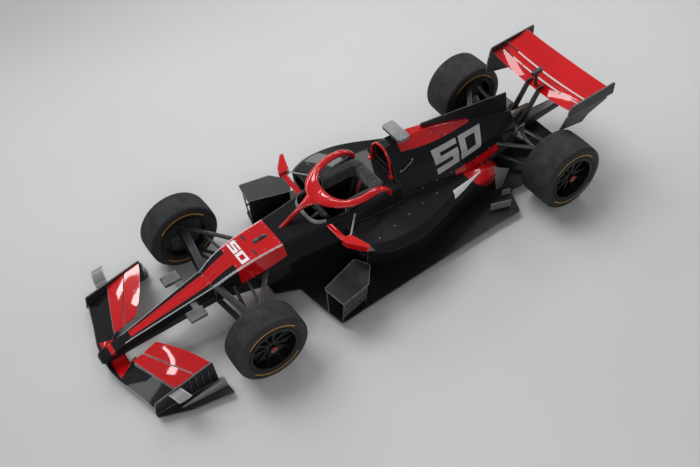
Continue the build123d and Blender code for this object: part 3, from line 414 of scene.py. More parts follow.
# Heat bands of the exhaust, from its open end forwards: share of the length, colour
HEAT_STOPS = ((0.1, (0.46, 0.43, 0.40)), (0.45, (0.40, 0.31, 0.22)),
              (0.7, (0.24, 0.21, 0.25)), (1.0, (0.20, 0.21, 0.24)))
PIPE_ENDS = (RA - 0.24, RA + 0.08)


def heat_tint():
    """Steel pipe with straw and blue heat bands along its length."""
    n = Nodes("heat_tint", metallic=1.0)
    x = n.place()[0]
    along_pipe = n.math("ADD", n.fit(x, *PIPE_ENDS, 0, 1), n.math("MULTIPLY", n.noise(8), 0.25))
    ramp = n.node("ShaderNodeValToRGB", along_pipe)
    stops = ramp.color_ramp.elements
    while len(stops) < len(HEAT_STOPS):
        stops.new(0.5)
    for element, (spot, colour) in zip(stops, HEAT_STOPS):
        element.position = spot
        element.color = (*colour, 1)
    return n.finish(ramp.outputs[0], n.mottle(40, 0.25, 0.42, 4))


def cloth(name, colour, dark, pitch):
    """Woven cloth or webbing."""
    n = Nodes(name, sheen_weight=0.3, roughness=0.85)
    threads = n.weave(pitch)
    shade = n.math("MULTIPLY", threads, n.mottle(20, 0.6, 1))
    n.bump(threads, 0.3, 0.0006)
    return n.finish(n.mix(shade, dark, colour))


def matte(name, colour, dark, roughness=0.6):
    """Moulded composite with a faint mottled skin."""
    n = Nodes(name)
    return n.finish(n.mix(n.mottle(12, detail=4), dark, colour),
                    n.mottle(30, roughness - 0.08, roughness + 0.08))


def pod_shell():
    """Dark camera housing, lightened as a painted reflection, with pale edges that are partly wear and partly
    a painted highlight.
    """
    n = Nodes("pod_shell", coat_weight=0.3, coat_roughness=0.1)
    face = n.mix(n.mottle(12, detail=4), GREY, POD_GREY)
    return n.finish(n.mix(n.edge(0.007), face, PLATE_EDGE), n.mottle(30, 0.32, 0.42))


# Waves of the printed patterns, radians per metre: lamp cells, then display bars across and up
LAMP_WAVE = 420
BAR_WAVES = (330, 600)


def lamp_glass():
    """Red lens, darker between its cells."""
    n = Nodes("lamp_glass", coat_weight=1.0, roughness=0.2)
    _, y, z = n.place()
    cells = n.both(n.wave(y, LAMP_WAVE), n.wave(z, LAMP_WAVE))
    tone = n.fit(cells, -0.2, 0.6, 0, 1)
    return n.finish(n.mix(tone, (0.05, 0.002, 0.002), (0.5, 0.01, 0.01)))


def screen_glass():
    """Dark display with faint bars."""
    n = Nodes("screen_glass", coat_weight=1.0, coat_roughness=0.03, roughness=0.3)
    _, y, z = n.place()
    bars = n.both(n.above(n.wave(y, BAR_WAVES[0]), 0.2), n.above(n.wave(z, BAR_WAVES[1]), 0.5))
    return n.finish(n.mix(bars, (0.01, 0.012, 0.015), (0.10, 0.16, 0.18)))


MAT = {
    "carbon": carbon("carbon", BLACK_TOWS),
    "satin": carbon("satin_carbon", SATIN_TOWS, roughness=(0.36, 0.48)),
    "plate": plate_carbon(),
    # Vanes, floor fins and footplate tunnels in pale grey tows, a painted reflection, with edges paler as
    # wear and painted highlight
    "vane": carbon("vane_sheen_carbon", (POD_GREY, CANARD_GREY), 0.006, PLATE_EDGE),
    # Rear wing endplates and bargeboards with paler edges: partly wear, partly a painted highlight
    "edged": carbon("edged_carbon", BLACK_TOWS, 0.009, PLATE_EDGE),
    "red": red_paint(),
    "nose": nose_livery(),
    "cover": cover_livery(),
    "pod": pod_livery(),
    "wing": wing_livery(),
    "mirrors": mirror_livery(),
    "front_tyre": rubber("front_rubber", FRONT_HUB),
    "rear_tyre": rubber("rear_rubber", REAR_HUB),
    "rim": metal("dark_rim", (0.05, 0.05, 0.053), (0.025, 0.025, 0.027), 0.35),
    "alloy": metal("alloy", (0.36, 0.36, 0.37), (0.24, 0.24, 0.25), 0.4),
    "drum": matte("drum_skin", (0.03, 0.03, 0.032), (0.014, 0.014, 0.015)),
    "steel": metal("steel", (0.22, 0.215, 0.21), (0.14, 0.137, 0.135), 0.42),
    "heat": heat_tint(),
    "belt": cloth("belt_webbing", (0.5, 0.012, 0.014), (0.25, 0.006, 0.008), 0.004),
    "pad": cloth("pad_cloth", (0.035, 0.035, 0.037), (0.014, 0.014, 0.015), 0.004),
    "grip": matte("grip_rubber", (0.02, 0.02, 0.021), (0.01, 0.01, 0.011), 0.7),
    "shell": pod_shell(),
    "dark": matte("dark_shell", GREY, SOFT_BLACK, 0.45),
    "slot": matte("slot_black", (0.004, 0.004, 0.004), (0.002, 0.002, 0.002), 0.7),
    "lip": matte("lip_grey", (0.24, 0.24, 0.23), (0.17, 0.17, 0.165), 0.5),
    "plank": matte("plank_resin", (0.1, 0.075, 0.05), (0.06, 0.045, 0.03)),
    "lamp": lamp_glass(),
    "screen": screen_glass(),
    "pale": matte("pale_print", PALE, (0.52, 0.53, 0.54), 0.4),
    "silver": matte("silver_print", (0.40, 0.405, 0.415), (0.34, 0.345, 0.35), 0.4),
    "white": matte("white_print", WHITE, (0.7, 0.7, 0.69), 0.4),
    "amber": matte("amber_cap", AMBER, (0.4, 0.18, 0.02), 0.35),
    "green": matte("green_cap", (0.03, 0.28, 0.08), (0.02, 0.2, 0.05), 0.35),
    "blue": matte("blue_cap", (0.02, 0.08, 0.36), (0.015, 0.06, 0.27), 0.35),
    "mirror": metal("mirror_glass", (0.85, 0.86, 0.88), (0.8, 0.81, 0.83), 0.1, 8, 1.0),
}
# Nodes of each finish, without their sides; the rest are bare carbon
FINISH = {
    "nose": "nose monocoque", "cover": "engine_cover", "pod": "sidepod", "mirrors": "mirrors",
    "red": "halo rear_wing_mainplane rear_wing_flap front_flap", "wing": "front_wing_mainplane",
    "plate": "front_wing_endplates", "edged": "rear_wing_endplates bargeboards", "vane": "floor_fins",
    "shell": "nose_cameras onboard_camera", "satin": "front_wishbones front_rods rear_links seat",
    "drum": "front_upright rear_uprights", "steel": "driveshaft", "alloy": "gearbox power_unit",
    "front_tyre": "front_tyre", "rear_tyre": "rear_tyre", "rim": "front_rim rear_rim", "heat": "exhaust",
    "dark": "steering_wheel steering_column flap_actuator", "belt": "harness", "pad": "headrest",
    "plank": "plank", "lamp": "rain_light",
}
NODE_FINISH = {stem: finish for finish, stems in FINISH.items() for stem in stems.split()}
for name, node in NODES.items():
    stem = name.removesuffix("_left").removesuffix("_right")
    for slot in node.material_slots:
        slot.material = MAT[NODE_FINISH.get(stem, "carbon")]


# Shapes
def rounded(width, height, radius, steps=5):
    """Outline of a rectangle with round corners, about its centre."""
    points = []
    for turn, (su, sv) in enumerate(((1, 1), (-1, 1), (-1, -1), (1, -1))):
        for i in range(steps + 1):
            angle = math.radians(90 * (turn + i / steps))
            points.append((su * (width / 2 - radius) + radius * math.cos(angle),
                           sv * (height / 2 - radius) + radius * math.sin(angle)))
    return points


def gear(outer, inner, teeth):
    """Outline with square teeth."""
    points = []
    for i in range(teeth * 4):
        angle = 2 * math.pi * (i + 0.5) / (teeth * 4)
        radius = outer if i % 4 < 2 else inner
        points.append((radius * math.cos(angle), radius * math.sin(angle)))
    return points


def slab(outline, low, high, bevel=0.0):
    """Outline pulled from one height to another, with eased edges."""
    mesh = bmesh.new()
    face = mesh.faces.new([mesh.verts.new((u, v, low)) for u, v in outline])
    pulled = bmesh.ops.extrude_face_region(mesh, geom=[face])["geom"]
    tops = [v for v in pulled if isinstance(v, bmesh.types.BMVert)]
    bmesh.ops.translate(mesh, verts=tops, vec=(0, 0, high - low))
    if bevel:
        rims = [e for e in mesh.edges if abs(e.verts[0].co.z - e.verts[1].co.z) < 1e-6]
        bmesh.ops.bevel(mesh, geom=rims, offset=bevel, segments=2, profile=0.6, affect="EDGES")
    return mesh


def tile(size, low, high, bevel=0.0):
    """Slab of a rounded rectangle; size is its width, height and corner."""
    return slab(rounded(*size), low, high, bevel)


def lathe(profile, segments=24):
    """Shape turned about Z from (radius, z) points."""
    mesh = bmesh.new()
    turns = [2 * math.pi * i / segments for i in range(segments)]
    rings = [[mesh.verts.new((r * math.cos(t), r * math.sin(t), z)) for t in turns] for r, z in profile]
    for low, high in zip(rings, rings[1:]):
        for i in range(segments):
            mesh.faces.new((low[i - 1], low[i], high[i], high[i - 1]))
    bmesh.ops.remove_doubles(mesh, verts=mesh.verts, dist=1e-7)
    return mesh


def loft(loops):
    """Closed skin through loops of equally many points."""
    mesh = bmesh.new()
    rings = [[mesh.verts.new(p) for p in loop] for loop in loops]
    for low, high in zip(rings, rings[1:]):
        for i in range(len(low)):
            mesh.faces.new((low[i - 1], low[i], high[i], high[i - 1]))
    mesh.faces.new(rings[0])
    mesh.faces.new(list(reversed(rings[-1])))
    return mesh


def smooth(points, steps=8):
    """Points of a smooth path through the given ones."""
    ends = [points[0] * 2 - points[1]] + list(points) + [points[-1] * 2 - points[-2]]
    path = []
    for a, b, c, d in zip(ends, ends[1:], ends[2:], ends[3:]):
        for i in range(steps):
            t = i / steps
            path.append(0.5 * (2 * b + (c - a) * t + (2 * a - 5 * b + 4 * c - d) * t ** 2
                               + (3 * b - a - 3 * c + d) * t ** 3))
    return path + [points[-1]]


def along(path, section, across):
    """Skin of a section, (share along across, share along the other way), carried along a path."""
    loops = []
    for i, point in enumerate(path):
        ahead = (path[min(i + 1, len(path) - 1)] - path[max(i - 1, 0)]).normalized()
        side = (across - ahead * across.dot(ahead)).normalized()
        rise = ahead.cross(side)
        loops.append([point + side * u + rise * v for u, v in section])
    return loft(loops)


def ribbon(path, width, thick, across):
    """Flat strap with round edges."""
    w, t = width / 2, thick / 2
    section = [(w, 0), (w - t, t), (0, t), (t - w, t), (-w, 0), (t - w, -t), (0, -t), (w - t, -t)]
    return along(path, section, across)


def tube(path, radius, across, sides=12):
    turns = [2 * math.pi * i / sides for i in range(sides)]
    return along(path, [(radius * math.cos(t), radius * math.sin(t)) for t in turns], across)


def at(mesh, place):
    mesh.transform(place)
    return mesh


def shifted(mesh, x, y):
    return at(mesh, Matrix.Translation((x, y, 0)))


def facing(origin, right, normal):
    """Frame whose X runs along right and Z along normal."""
    z = Vector(normal).normalized()
    x = (Vector(right) - z * Vector(right).dot(z)).normalized()
    return Matrix.Translation(origin) @ Matrix((x, z.cross(x), z)).transposed().to_4x4()


def pour(mesh, into):
    """Move one mesh into another."""
    step = bpy.data.meshes.new("step")
    mesh.to_mesh(step)
    mesh.free()
    into.from_mesh(step)
    bpy.data.meshes.remove(step)


def merged(parts):
    """Parts of the same finish joined into one."""
    groups = {}
    for mesh, finish in parts:
        if finish not in groups:
            groups[finish] = bmesh.new()
        pour(mesh, groups[finish])
    return [(mesh, finish) for finish, mesh in groups.items()]


def piece(name, parts, body="chassis"):
    """Object of one or more (mesh, finish) parts, riding on a body."""
    data = bpy.data.meshes.new(name)
    whole = bmesh.new()
    for index, (mesh, finish) in enumerate(parts):
        bmesh.ops.recalc_face_normals(mesh, faces=mesh.faces)
        for face in mesh.faces:
            face.material_index = index
        pour(mesh, whole)
        data.materials.append(MAT[finish])
    whole.to_mesh(data)
    whole.free()
    obj = new_object(name, data)
    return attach(obj, body)


def soften(obj, angle=40):
    """Smooth shading, with edges sharper than the angle kept."""
    obj.data.shade_smooth()
    obj.data.set_sharp_from_angle(angle=math.radians(angle))
    return obj


def surface_of(node):
    mesh = NODES[node].data
    return BVHTree.FromPolygons([v.co for v in mesh.vertices], [p.vertices for p in mesh.polygons])


def touch(skin, point, normal, reach=0.3):
    """Point and normal where a line through point, against normal, meets the skin."""
    normal = Vector(normal).normalized()
    spot, out = skin.ray_cast(Vector(point) + normal * reach, -normal, 2 * reach)[:2]
    return (spot, out) if spot else (Vector(point), normal)


def draped(shapes, corners, node, normal, lift=0.0008, cuts=6):
    """Polygons drawn in a unit square, laid over a node between four corners.

    Corners go top left, top right, bottom right, bottom left.
    """
    top_left, top_right, low_right, low_left = [Vector(c) for c in corners]
    skin = surface_of(node)
    mesh = bmesh.new()
    for shape in shapes:
        mesh.faces.new([mesh.verts.new((u, v, 0)) for u, v in shape])
    bmesh.ops.subdivide_edges(mesh, edges=mesh.edges, cuts=cuts, use_grid_fill=True)
    lift = Vector(normal).normalized() * lift
    for vert in mesh.verts:
        u, v = vert.co.xy
        point = low_left.lerp(low_right, u).lerp(top_left.lerp(top_right, u), v)
        vert.co = touch(skin, point, normal)[0] + lift
    return mesh


def mirrored(points, sign):
    return [(x, sign * y, z) for x, y, z in points]


# Race number on the nose and on the flanks of the engine cover
STROKE_U, STROKE_V = 0.13, 0.23
DIGITS = (("afgcd", 0, 0.475), ("abcdeflr", 0.525, 1))  # lit bars, left and right edge


def number():
    """A plain two-digit number in a unit square."""
    quads = []
    foot, low, high, head = STROKE_V, 0.5 - STROKE_V / 2, 0.5 + STROKE_V / 2, 1 - STROKE_V
    for code, left, right in DIGITS:
        inner, outer = left + STROKE_U, right - STROKE_U
        bars = {
            "a": (left, head, right, 1), "g": (left, low, right, high), "d": (left, 0, right, foot),
            "f": (left, high, inner, head), "l": (left, low, inner, high), "e": (left, foot, inner, low),
            "b": (outer, high, right, head), "r": (outer, low, right, high), "c": (outer, foot, right, low),
        }
        for bar in code:
            u0, v0, u1, v1 = bars[bar]
            quads.append(((u0, v0), (u1, v0), (u1, v1), (u0, v1)))
    return quads


NOSE_NUMBER = [(FA - x, y, 0.6)
               for x, y in ((0.266, -0.145), (0.266, 0.145), (0.182, 0.145), (0.182, -0.145))]
FLANK_NUMBER = ((FA - 2.246, 0.183, 0.826), (FA - 2.93, 0.07, 0.716),
                (FA - 2.83, 0.228, 0.588), (FA - 2.264, 0.286, 0.58))
# Columns: x from the front axle and y of the stripe's inner edge, then of its outer edge
BLADE_STRIPE = ((-2.300, 0.452, -2.270, 0.540), (-2.420, 0.434, -2.440, 0.487),
                (-2.560, 0.410, -2.585, 0.432), (-2.720, 0.374, -2.726, 0.378))


def numbers():
    piece("nose_number", [(draped(number(), NOSE_NUMBER, "monocoque", (0.2, 0, 1)), "white")])
    for side, sign in SIDES:
        a, b, c, d = mirrored(FLANK_NUMBER, sign)
        corners = (a, b, c, d) if sign > 0 else (b, a, d, c)
        mesh = draped(number(), corners, "engine_cover", (0, sign * 0.8, 0.6), cuts=12)
        piece(f"flank_number_{side}", [(mesh, "silver")])


def blade_stripes():
    """Pale tapering stripe beside the red patch of each sidepod."""
    unit = ((FA, 1, 0.45), (FA + 1, 1, 0.45), (FA + 1, 0, 0.45), (FA, 0, 0.45))
    shapes = [(a[:2], a[2:], b[2:], b[:2]) for a, b in zip(BLADE_STRIPE, BLADE_STRIPE[1:])]
    for side, sign in SIDES:
        mesh = draped(shapes, mirrored(unit, sign), f"sidepod_{side}", (0, sign * 0.35, 1), 0.0015, 10)
        piece(f"blade_stripe_{side}", [(mesh, "pale")])


# Fittings on the red panel ahead of the cockpit
PANEL_Z, PANEL_UP = 0.6, (0.1, 0, 1)  # near the panel, and its normal
SLOT_X, SLOT_Y = FA - 0.34, 0.108
SLOT_RIM, SLOT_MOUTH = (0.088, 0.019, 0.006), (0.080, 0.011, 0.004)
SENSOR_X, SENSOR_BASE = FA - 0.458, (0.150, 0.046, 0.0225, 8)
SENSOR_SIZE = (0.129, 0.03588, 0.034)  # length, width, twice the rise
SENSOR_DOME = ((0.5, 0), (0.47, 0.22), (0.36, 0.40), (0.2, 0.48), (0, 0.5))


def panel_fittings():
    skin = surface_of("monocoque")
    parts = []
    for sign in (1, -1):
        spot, out = touch(skin, (SLOT_X, sign * SLOT_Y, PANEL_Z), PANEL_UP)
        place = facing(spot, ACROSS, out)
        parts += [(at(tile(SLOT_RIM, -0.001, 0.0012, 0.0005), place), "dark"),
                  (at(tile(SLOT_MOUTH, 0.001, 0.0016), place), "slot")]
    spot, out = touch(skin, (SENSOR_X, 0, PANEL_Z), PANEL_UP)
    place = facing(spot, AHEAD, out)
    base = at(tile(SENSOR_BASE, -0.002, 0.003, 0.001), place)
    dome = at(lathe(SENSOR_DOME, 32), Matrix.Diagonal((*SENSOR_SIZE, 1)))
    parts += [(base, "dark"), (at(dome, place @ Matrix.Translation((0, 0, 0.003))), "screen")]
    soften(piece("panel_fittings", parts), 35)


# Quarter-turn fasteners; columns: node, x, y, z near the skin, direction of the skin
FASTENERS = [("nose", FA + 0.14, y, 0.49, (0.2, 0, 1)) for y in (-0.10, -0.05, 0.05, 0.10)]
FASTENERS += [("monocoque", FA - 0.565, y, 0.64, UP) for y in (-0.15, -0.08, 0.08, 0.15)]
FASTENERS += [("monocoque", FA - 0.13 - 0.145 * i, s * (0.112 + 0.012 * i), 0.6, UP)
              for i in range(3) for s in (1, -1)]
FASTENERS += [("engine_cover", FA - 1.9 - 0.17 * i, s * 0.3, 0.535, (0, s, 0.3))
              for i in range(7) for s in (1, -1)]
FASTENERS += [("engine_cover", FA - 2.27 - COVER_SEAM_SLOPE * y, s * y, 0.9, (0, s * 0.7, 0.7))
              for y in (0.05, 0.1, 0.15) for s in (1, -1)]
FASTENERS += [(f"sidepod_{side}", FA - 1.35 - 0.2 * i, s * (0.60 - 0.045 * i), 0.55, (0, s * 0.2, 1))
              for i in range(5) for side, s in SIDES]
FASTENER_DISC = ((0, 0.0012), (0.0048, 0.0012), (0.0066, 0.0006), (0.0074, -0.0006))
FASTENER_SLOT = (0.0085, 0.0016, 0.0007, 2)


def fasteners():
    parts = []
    skins = {}
    for node, x, y, z, way in FASTENERS:
        if node not in skins:
            skins[node] = surface_of(node)
        spot, out = touch(skins[node], (x, y, z), way)
        place = facing(spot, (1, 0.3, 0), out)
        parts += [(at(lathe(FASTENER_DISC, 16), place), "alloy"),
                  (at(tile(FASTENER_SLOT, 0.0010, 0.0014), place), "slot")]
    piece("panel_fasteners", merged(parts))


# Headrest: the solid shrunk, then blown up under cloth tension, then stitched
PAD_VOXEL, PAD_SHRINK, PAD_CAP = 0.008, 0.007, 0.011
PAD_STEPS, PAD_PRESSURE = 20, 4
SEAM_DEPTH, SEAM_WIDTH = 0.0045, 0.006
SEAM_X = (BULKHEAD + 0.32, BULKHEAD + 0.44)  # across the cheeks
SEAM_Y = 0.062  # along the back pad
SEAM_BACK = SEAM_X[0] - 0.07  # where the cheeks meet the back pad


def evaluated(obj):
    graph = bpy.context.evaluated_depsgraph_get()
    return bpy.data.meshes.new_from_object(obj.evaluated_get(graph))


def push(mesh, depth):
    """Move each point against its normal by depth(point)."""
    normals = [v.normal.copy() for v in mesh.vertices]
    for vert, normal in zip(mesh.vertices, normals):
        vert.co -= normal * depth(vert.co)


def headrest():
    mesh = bmesh.new()
    mesh.from_mesh(NODES["headrest"].data)
    bmesh.ops.remove_doubles(mesh, verts=mesh.verts, dist=1e-5)
    pad = piece("headrest_pad", [(mesh, "pad")])
    remesh = pad.modifiers.new("remesh", "REMESH")
    remesh.mode = "VOXEL"
    remesh.voxel_size = PAD_VOXEL
    skin = evaluated(pad)
    pad.modifiers.clear()
    pad.data = skin
    push(skin, lambda _: PAD_SHRINK)
    start = [v.co.copy() for v in skin.vertices]
    swell(pad, start)
    push(pad.data, seam_depth)
    pad.data.materials.clear()
    pad.data.materials.append(MAT["pad"])
    pad.modifiers.new("round", "SUBSURF").render_levels = 1
    pad.data.shade_smooth()
    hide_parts("headrest")


def swell(pad, start):
    """Blow the pad up as cloth, no point further than the cap."""
    settings = pad.modifiers.new("cloth", "CLOTH").settings
    settings.use_pressure = True
    settings.uniform_pressure_force = PAD_PRESSURE
    settings.effector_weights.gravity = 0
    for step in range(1, PAD_STEPS + 1):
        SCENE.frame_set(step)
    blown = evaluated(pad)
    pad.modifiers.clear()
    SCENE.frame_set(1)
    pad.data = blown
    for vert, before in zip(blown.vertices, start):
        move = vert.co - before
        if move.length > PAD_CAP:
            vert.co = before + move.normalized() * PAD_CAP


def seam_depth(point):
    """Depth of the sewn channels across the cheeks and along the back pad."""
    x, y = point.xy
    gaps = [abs(x - seam) for seam in SEAM_X] if x > SEAM_BACK else [abs(abs(y) - SEAM_Y)]
    nearest = min(gaps) / SEAM_WIDTH
    return SEAM_DEPTH * math.exp(-nearest * nearest)


# Harness: shoulder straps down the seat back to the buckle, lap and crotch straps
STRAP_W, STRAP_T, CROTCH_W = 0.046, 0.003, 0.0368
ADJUSTER, SLIDE_BAR, BUCKLE_BAR = (0.062, 0.036, 0.005), (0.050, 0.008, 0.003), (0.046, 0.010, 0.004)
BUCKLE = ((0, 0.004), (0.010, 0.0045), (0.028, 0.002), (0.033, -0.003), (0.033, -0.012))
BUCKLE_AT = Vector((BULKHEAD + 0.485, 0, 0.192))
# Columns: x from the bulkhead, y, z along the middle of each left strap
SHOULDER_PATH = ((0.203, 0.075, 0.612), (0.222, 0.075, 0.577), (0.290, 0.075, 0.374), (0.341, 0.073, 0.224),
                 (0.372, 0.066, 0.182), (0.420, 0.050, 0.176), (0.462, 0.024, 0.186))
LAP_PATH = ((0.375, 0.161, 0.196), (0.405, 0.138, 0.176), (0.440, 0.090, 0.175), (0.478, 0.036, 0.187))
CROTCH_PATH = ((0.500, 0, 0.187), (0.545, 0, 0.174), (0.600, 0, 0.181))


def strap_path(rows, sign):
    return smooth([Vector((BULKHEAD + x, sign * y, z)) for x, y, z in rows])


def harness():
    straps, buckles = [], []
    for sign in (1, -1):
        shoulder = strap_path(SHOULDER_PATH, sign)
        lap = strap_path(LAP_PATH, sign)
        straps += [ribbon(shoulder, STRAP_W, STRAP_T, ACROSS),
                   ribbon(lap, STRAP_W, STRAP_T, Vector((1, sign * 0.75, 0)))]
        middle = shoulder[len(shoulder) // 3]
        slope = shoulder[len(shoulder) // 3 + 1] - middle
        out = slope.cross(ACROSS).normalized()
        place = facing(middle + out * STRAP_T, ACROSS, out)
        buckles += [(at(tile(ADJUSTER, 0, 0.003, 0.0008), place), "steel"),
                    (at(tile(SLIDE_BAR, 0.003, 0.006, 0.001), place), "steel")]
    straps.append(ribbon(strap_path(CROTCH_PATH, 1), CROTCH_W, STRAP_T, ACROSS))
    webbing = soften(piece("harness_webbing", merged([(strap, "belt") for strap in straps])), 60)
    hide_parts("harness")
    place = facing(BUCKLE_AT, ACROSS, (-0.1, 0, 1))
    buckles.append((at(lathe(BUCKLE, 32), place), "alloy"))
    for turn in (0, 90):
        bar = tile(BUCKLE_BAR, 0.003, 0.010, 0.0015)
        buckles.append((at(bar, place @ Matrix.Rotation(math.radians(turn), 4, "Z")), "red"))
    soften(piece("harness_buckles", merged(buckles)))


# Steering wheel fittings, drawn with X to the right from the seat and Y up; FACE is the rim's near side
WHEEL = JOINT["steering_wheel_turn"]
WHEEL_PLACE = facing(WHEEL["pos_m"], (0, -1, 0), WHEEL["axis"])
FACE = 0.018
GRIP_X, GRIP_W, GRIP_T, GRIP_H = 0.1205, 0.036, 0.046, 0.125
# Columns: x, y, finish
BUTTONS = ((0.061, 0.056, "red"), (0.061, 0.034, "green"), (0.061, 0.012, "amber"),
           (0.061, -0.010, "white"), (-0.061, 0.056, "blue"), (-0.061, 0.034, "amber"),
           (-0.061, 0.012, "white"), (-0.061, -0.010, "red"), (0.100, 0.060, "white"),
           (-0.100, 0.060, "green"), (0.100, -0.060, "blue"), (-0.100, -0.060, "white"))
BUTTON_RING = ((0.0088, 0), (0.0088, 0.003), (0.0068, 0.0032), (0.0066, 0.001))  # radius, height
BUTTON_CAP = ((0, 0.005), (0.004, 0.0046), (0.006, 0.003), (0.006, 0))
KNOBS_X, KNOB_Y, MARK_Y = (-0.046, 0, 0.046), -0.046, -0.039
KNOB_R, KNOB_ROOT, KNOB_TEETH = 0.0155, 0.0138, 14
KNOB_MARK = (0.002, 0.010, 0.0008, 2)
LAMPS = ("green",) * 3 + ("red",) * 3 + ("blue",) * 3
LAMP_BEAD = ((0, 0.003), (0.0026, 0.0022), (0.0034, 0))
LAMP_STEP, LAMP_Y = 0.0105, 0.062
SCREEN_Y, SCREEN_RIM, SCREEN = 0.014, (0.108, 0.066, 0.007), (0.100, 0.058, 0.004)
PADDLE_X, PADDLE_Y, PADDLE = 0.082, 0.004, (0.066, 0.056, 0.014)
LINK_X, PADDLE_LINK = 0.056, (0.045, 0.014, 0.004)


def on_face(profile, sides):
    return lathe([(r, FACE + z) for r, z in profile], sides)


def wheel_face():
    """Display, buttons, knobs and shift lamps."""
    parts = [(shifted(tile(SCREEN_RIM, FACE, FACE + 0.002, 0.0007), 0, SCREEN_Y), "slot"),
             (shifted(tile(SCREEN, FACE + 0.0015, FACE + 0.0026), 0, SCREEN_Y), "screen")]
    for x, y, finish in BUTTONS:
        parts += [(shifted(on_face(BUTTON_RING, 20), x, y), "dark"),
                  (shifted(on_face(BUTTON_CAP, 20), x, y), finish)]
    for x in KNOBS_X:
        base = slab(gear(KNOB_R, KNOB_ROOT, KNOB_TEETH), FACE, FACE + 0.008, 0.0008)
        mark = tile(KNOB_MARK, FACE + 0.0078, FACE + 0.0086)
        parts += [(shifted(base, x, KNOB_Y), "grip"), (shifted(mark, x, MARK_Y), "white")]
    for i, finish in enumerate(LAMPS):
        parts.append((shifted(on_face(LAMP_BEAD, 12), LAMP_STEP * (i - 4), LAMP_Y), finish))
    return parts


def wheel_grip(sign):
    """Waisted grip, paddle and its link on one side."""
    loops = []
    for i in range(13):
        share = i / 6 - 1
        reach = 0.45 + 0.55 * (1 - share ** 6) * (1 - 0.08 * math.cos(share * 9))
        loops.append([Vector((sign * GRIP_X + u * reach, share * GRIP_H / 2, v * reach))
                      for u, v in rounded(GRIP_W, GRIP_T, 0.016)])
    paddle = shifted(tile(PADDLE, -0.037, -0.033, 0.001), sign * PADDLE_X, PADDLE_Y)
    link = shifted(tile(PADDLE_LINK, -0.033, -0.0175), sign * LINK_X, PADDLE_Y)
    return [(loft(loops), "grip"), (paddle, "carbon"), (link, "dark")]


def steering_fittings():
    parts = merged(wheel_face() + wheel_grip(1) + wheel_grip(-1))
    parts = [(at(mesh, WHEEL_PLACE), finish) for mesh, finish in parts]
    soften(piece("steering_fittings", parts, "steering_wheel"))


# Cockpit rim strip, x and half width from the bulkhead, and roll hoop, half width and height
LIP_PATH = ((0.785, 0.222), (0.845, 0.192), (0.878, 0.150), (0.894, 0.080))
LIP_H, LIP_T, LIP_Z = 0.040, 0.005, 0.66
HOOP_PATH = ((0.168, 0.742), (0.150, 0.800), (0.139, 0.870), (0.125, 0.925), (0.085, 0.975), (0.045, 1.003))
HOOP_R, HOOP_FOOT, HOOP_PLATE = 0.012, 0.7355, (0.05, 0.044, 0.008)


def closed(half):
    """Smooth path over a left half and its mirror image."""
    return smooth(half + [Vector((p.x, -p.y, p.z)) for p in reversed(half)], 6)


def cockpit_rim():
    skin = surface_of("monocoque")
    left = []
    for x, y in LIP_PATH:
        spot = touch(skin, (BULKHEAD + x, y, LIP_Z), UP)[0]
        left.append(spot + Vector((0, 0, LIP_H * 0.36)))
    strip = ribbon(closed(left), LIP_H, LIP_T, Vector((-0.5, 0, 0.85)))
    soften(piece("cockpit_rim", [(strip, "lip")]), 50)


def roll_hoop():
    x = BULKHEAD + HOOP_R + 0.002
    path = closed([Vector((x, y, z)) for y, z in HOOP_PATH])
    parts = [(tube(path, HOOP_R, AHEAD), "red")]
    for sign in (1, -1):
        place = facing((x + 0.004, sign * HOOP_PATH[0][0], HOOP_FOOT), ACROSS, UP)
        parts.append((at(tile(HOOP_PLATE, 0, 0.007, 0.0015), place), "red"))
    soften(piece("roll_hoop", merged(parts)), 50)


# Mirror glass on the rear face of each housing: x from the bulkhead, y of its inner and outer end
MIRROR_FACE = ((0.722, 0.520), (0.650, 0.744))
MIRROR_Z = 0.693
MIRROR_RIM, MIRROR_GLASS = (0.196, 0.052, 0.012), (0.186, 0.043, 0.010)


def mirror_glasses():
    for side, sign in SIDES:
        inner, outer = [Vector((BULKHEAD + x, sign * y, MIRROR_Z)) for x, y in MIRROR_FACE]
        run = outer - inner
        out = Vector((-abs(run.y), -sign * abs(run.x), 0))
        place = facing((inner + outer) / 2, run, out)
        bezel = at(tile(MIRROR_RIM, -0.001, 0.0008, 0.0003), place)
        glass = at(tile(MIRROR_GLASS, 0.0005, 0.0014, 0.0003), place)
        piece(f"mirror_glass_{side}", [(glass, "mirror"), (bezel, "slot")])


# Rain light cells
CELL, CELL_GAP, CELL_ROWS, CELL_COLUMNS = (0.0105, 0.0105, 0.003, 3), 0.0135, 5, 5


def rain_light_cells():
    low, high = [Vector(c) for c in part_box("rain_light")]
    middle = (low + high) / 2
    parts = []
    for row in range(CELL_ROWS):
        for column in range(CELL_COLUMNS):
            y = (column - (CELL_COLUMNS - 1) / 2) * CELL_GAP
            z = middle.z + (row - (CELL_ROWS - 1) / 2) * CELL_GAP
            place = facing((low.x, y, z), ACROSS, (-1, 0, 0))
            parts.append((at(tile(CELL, 0, 0.0016, 0.0006), place), "lamp"))
    piece("rain_light_cells", merged(parts))


# Wheel nuts
NUT_BACK = 0.008  # nut seat inboard of the rim's lip
NUT_R, NUT_ROOT, NUT_TEETH = 0.0345, 0.029, 12
NUT_SOCKET = ((0.024, 0.005), (0.024, 0.008), (0.015, 0.008), (0.013, 0.001), (0, 0.001))


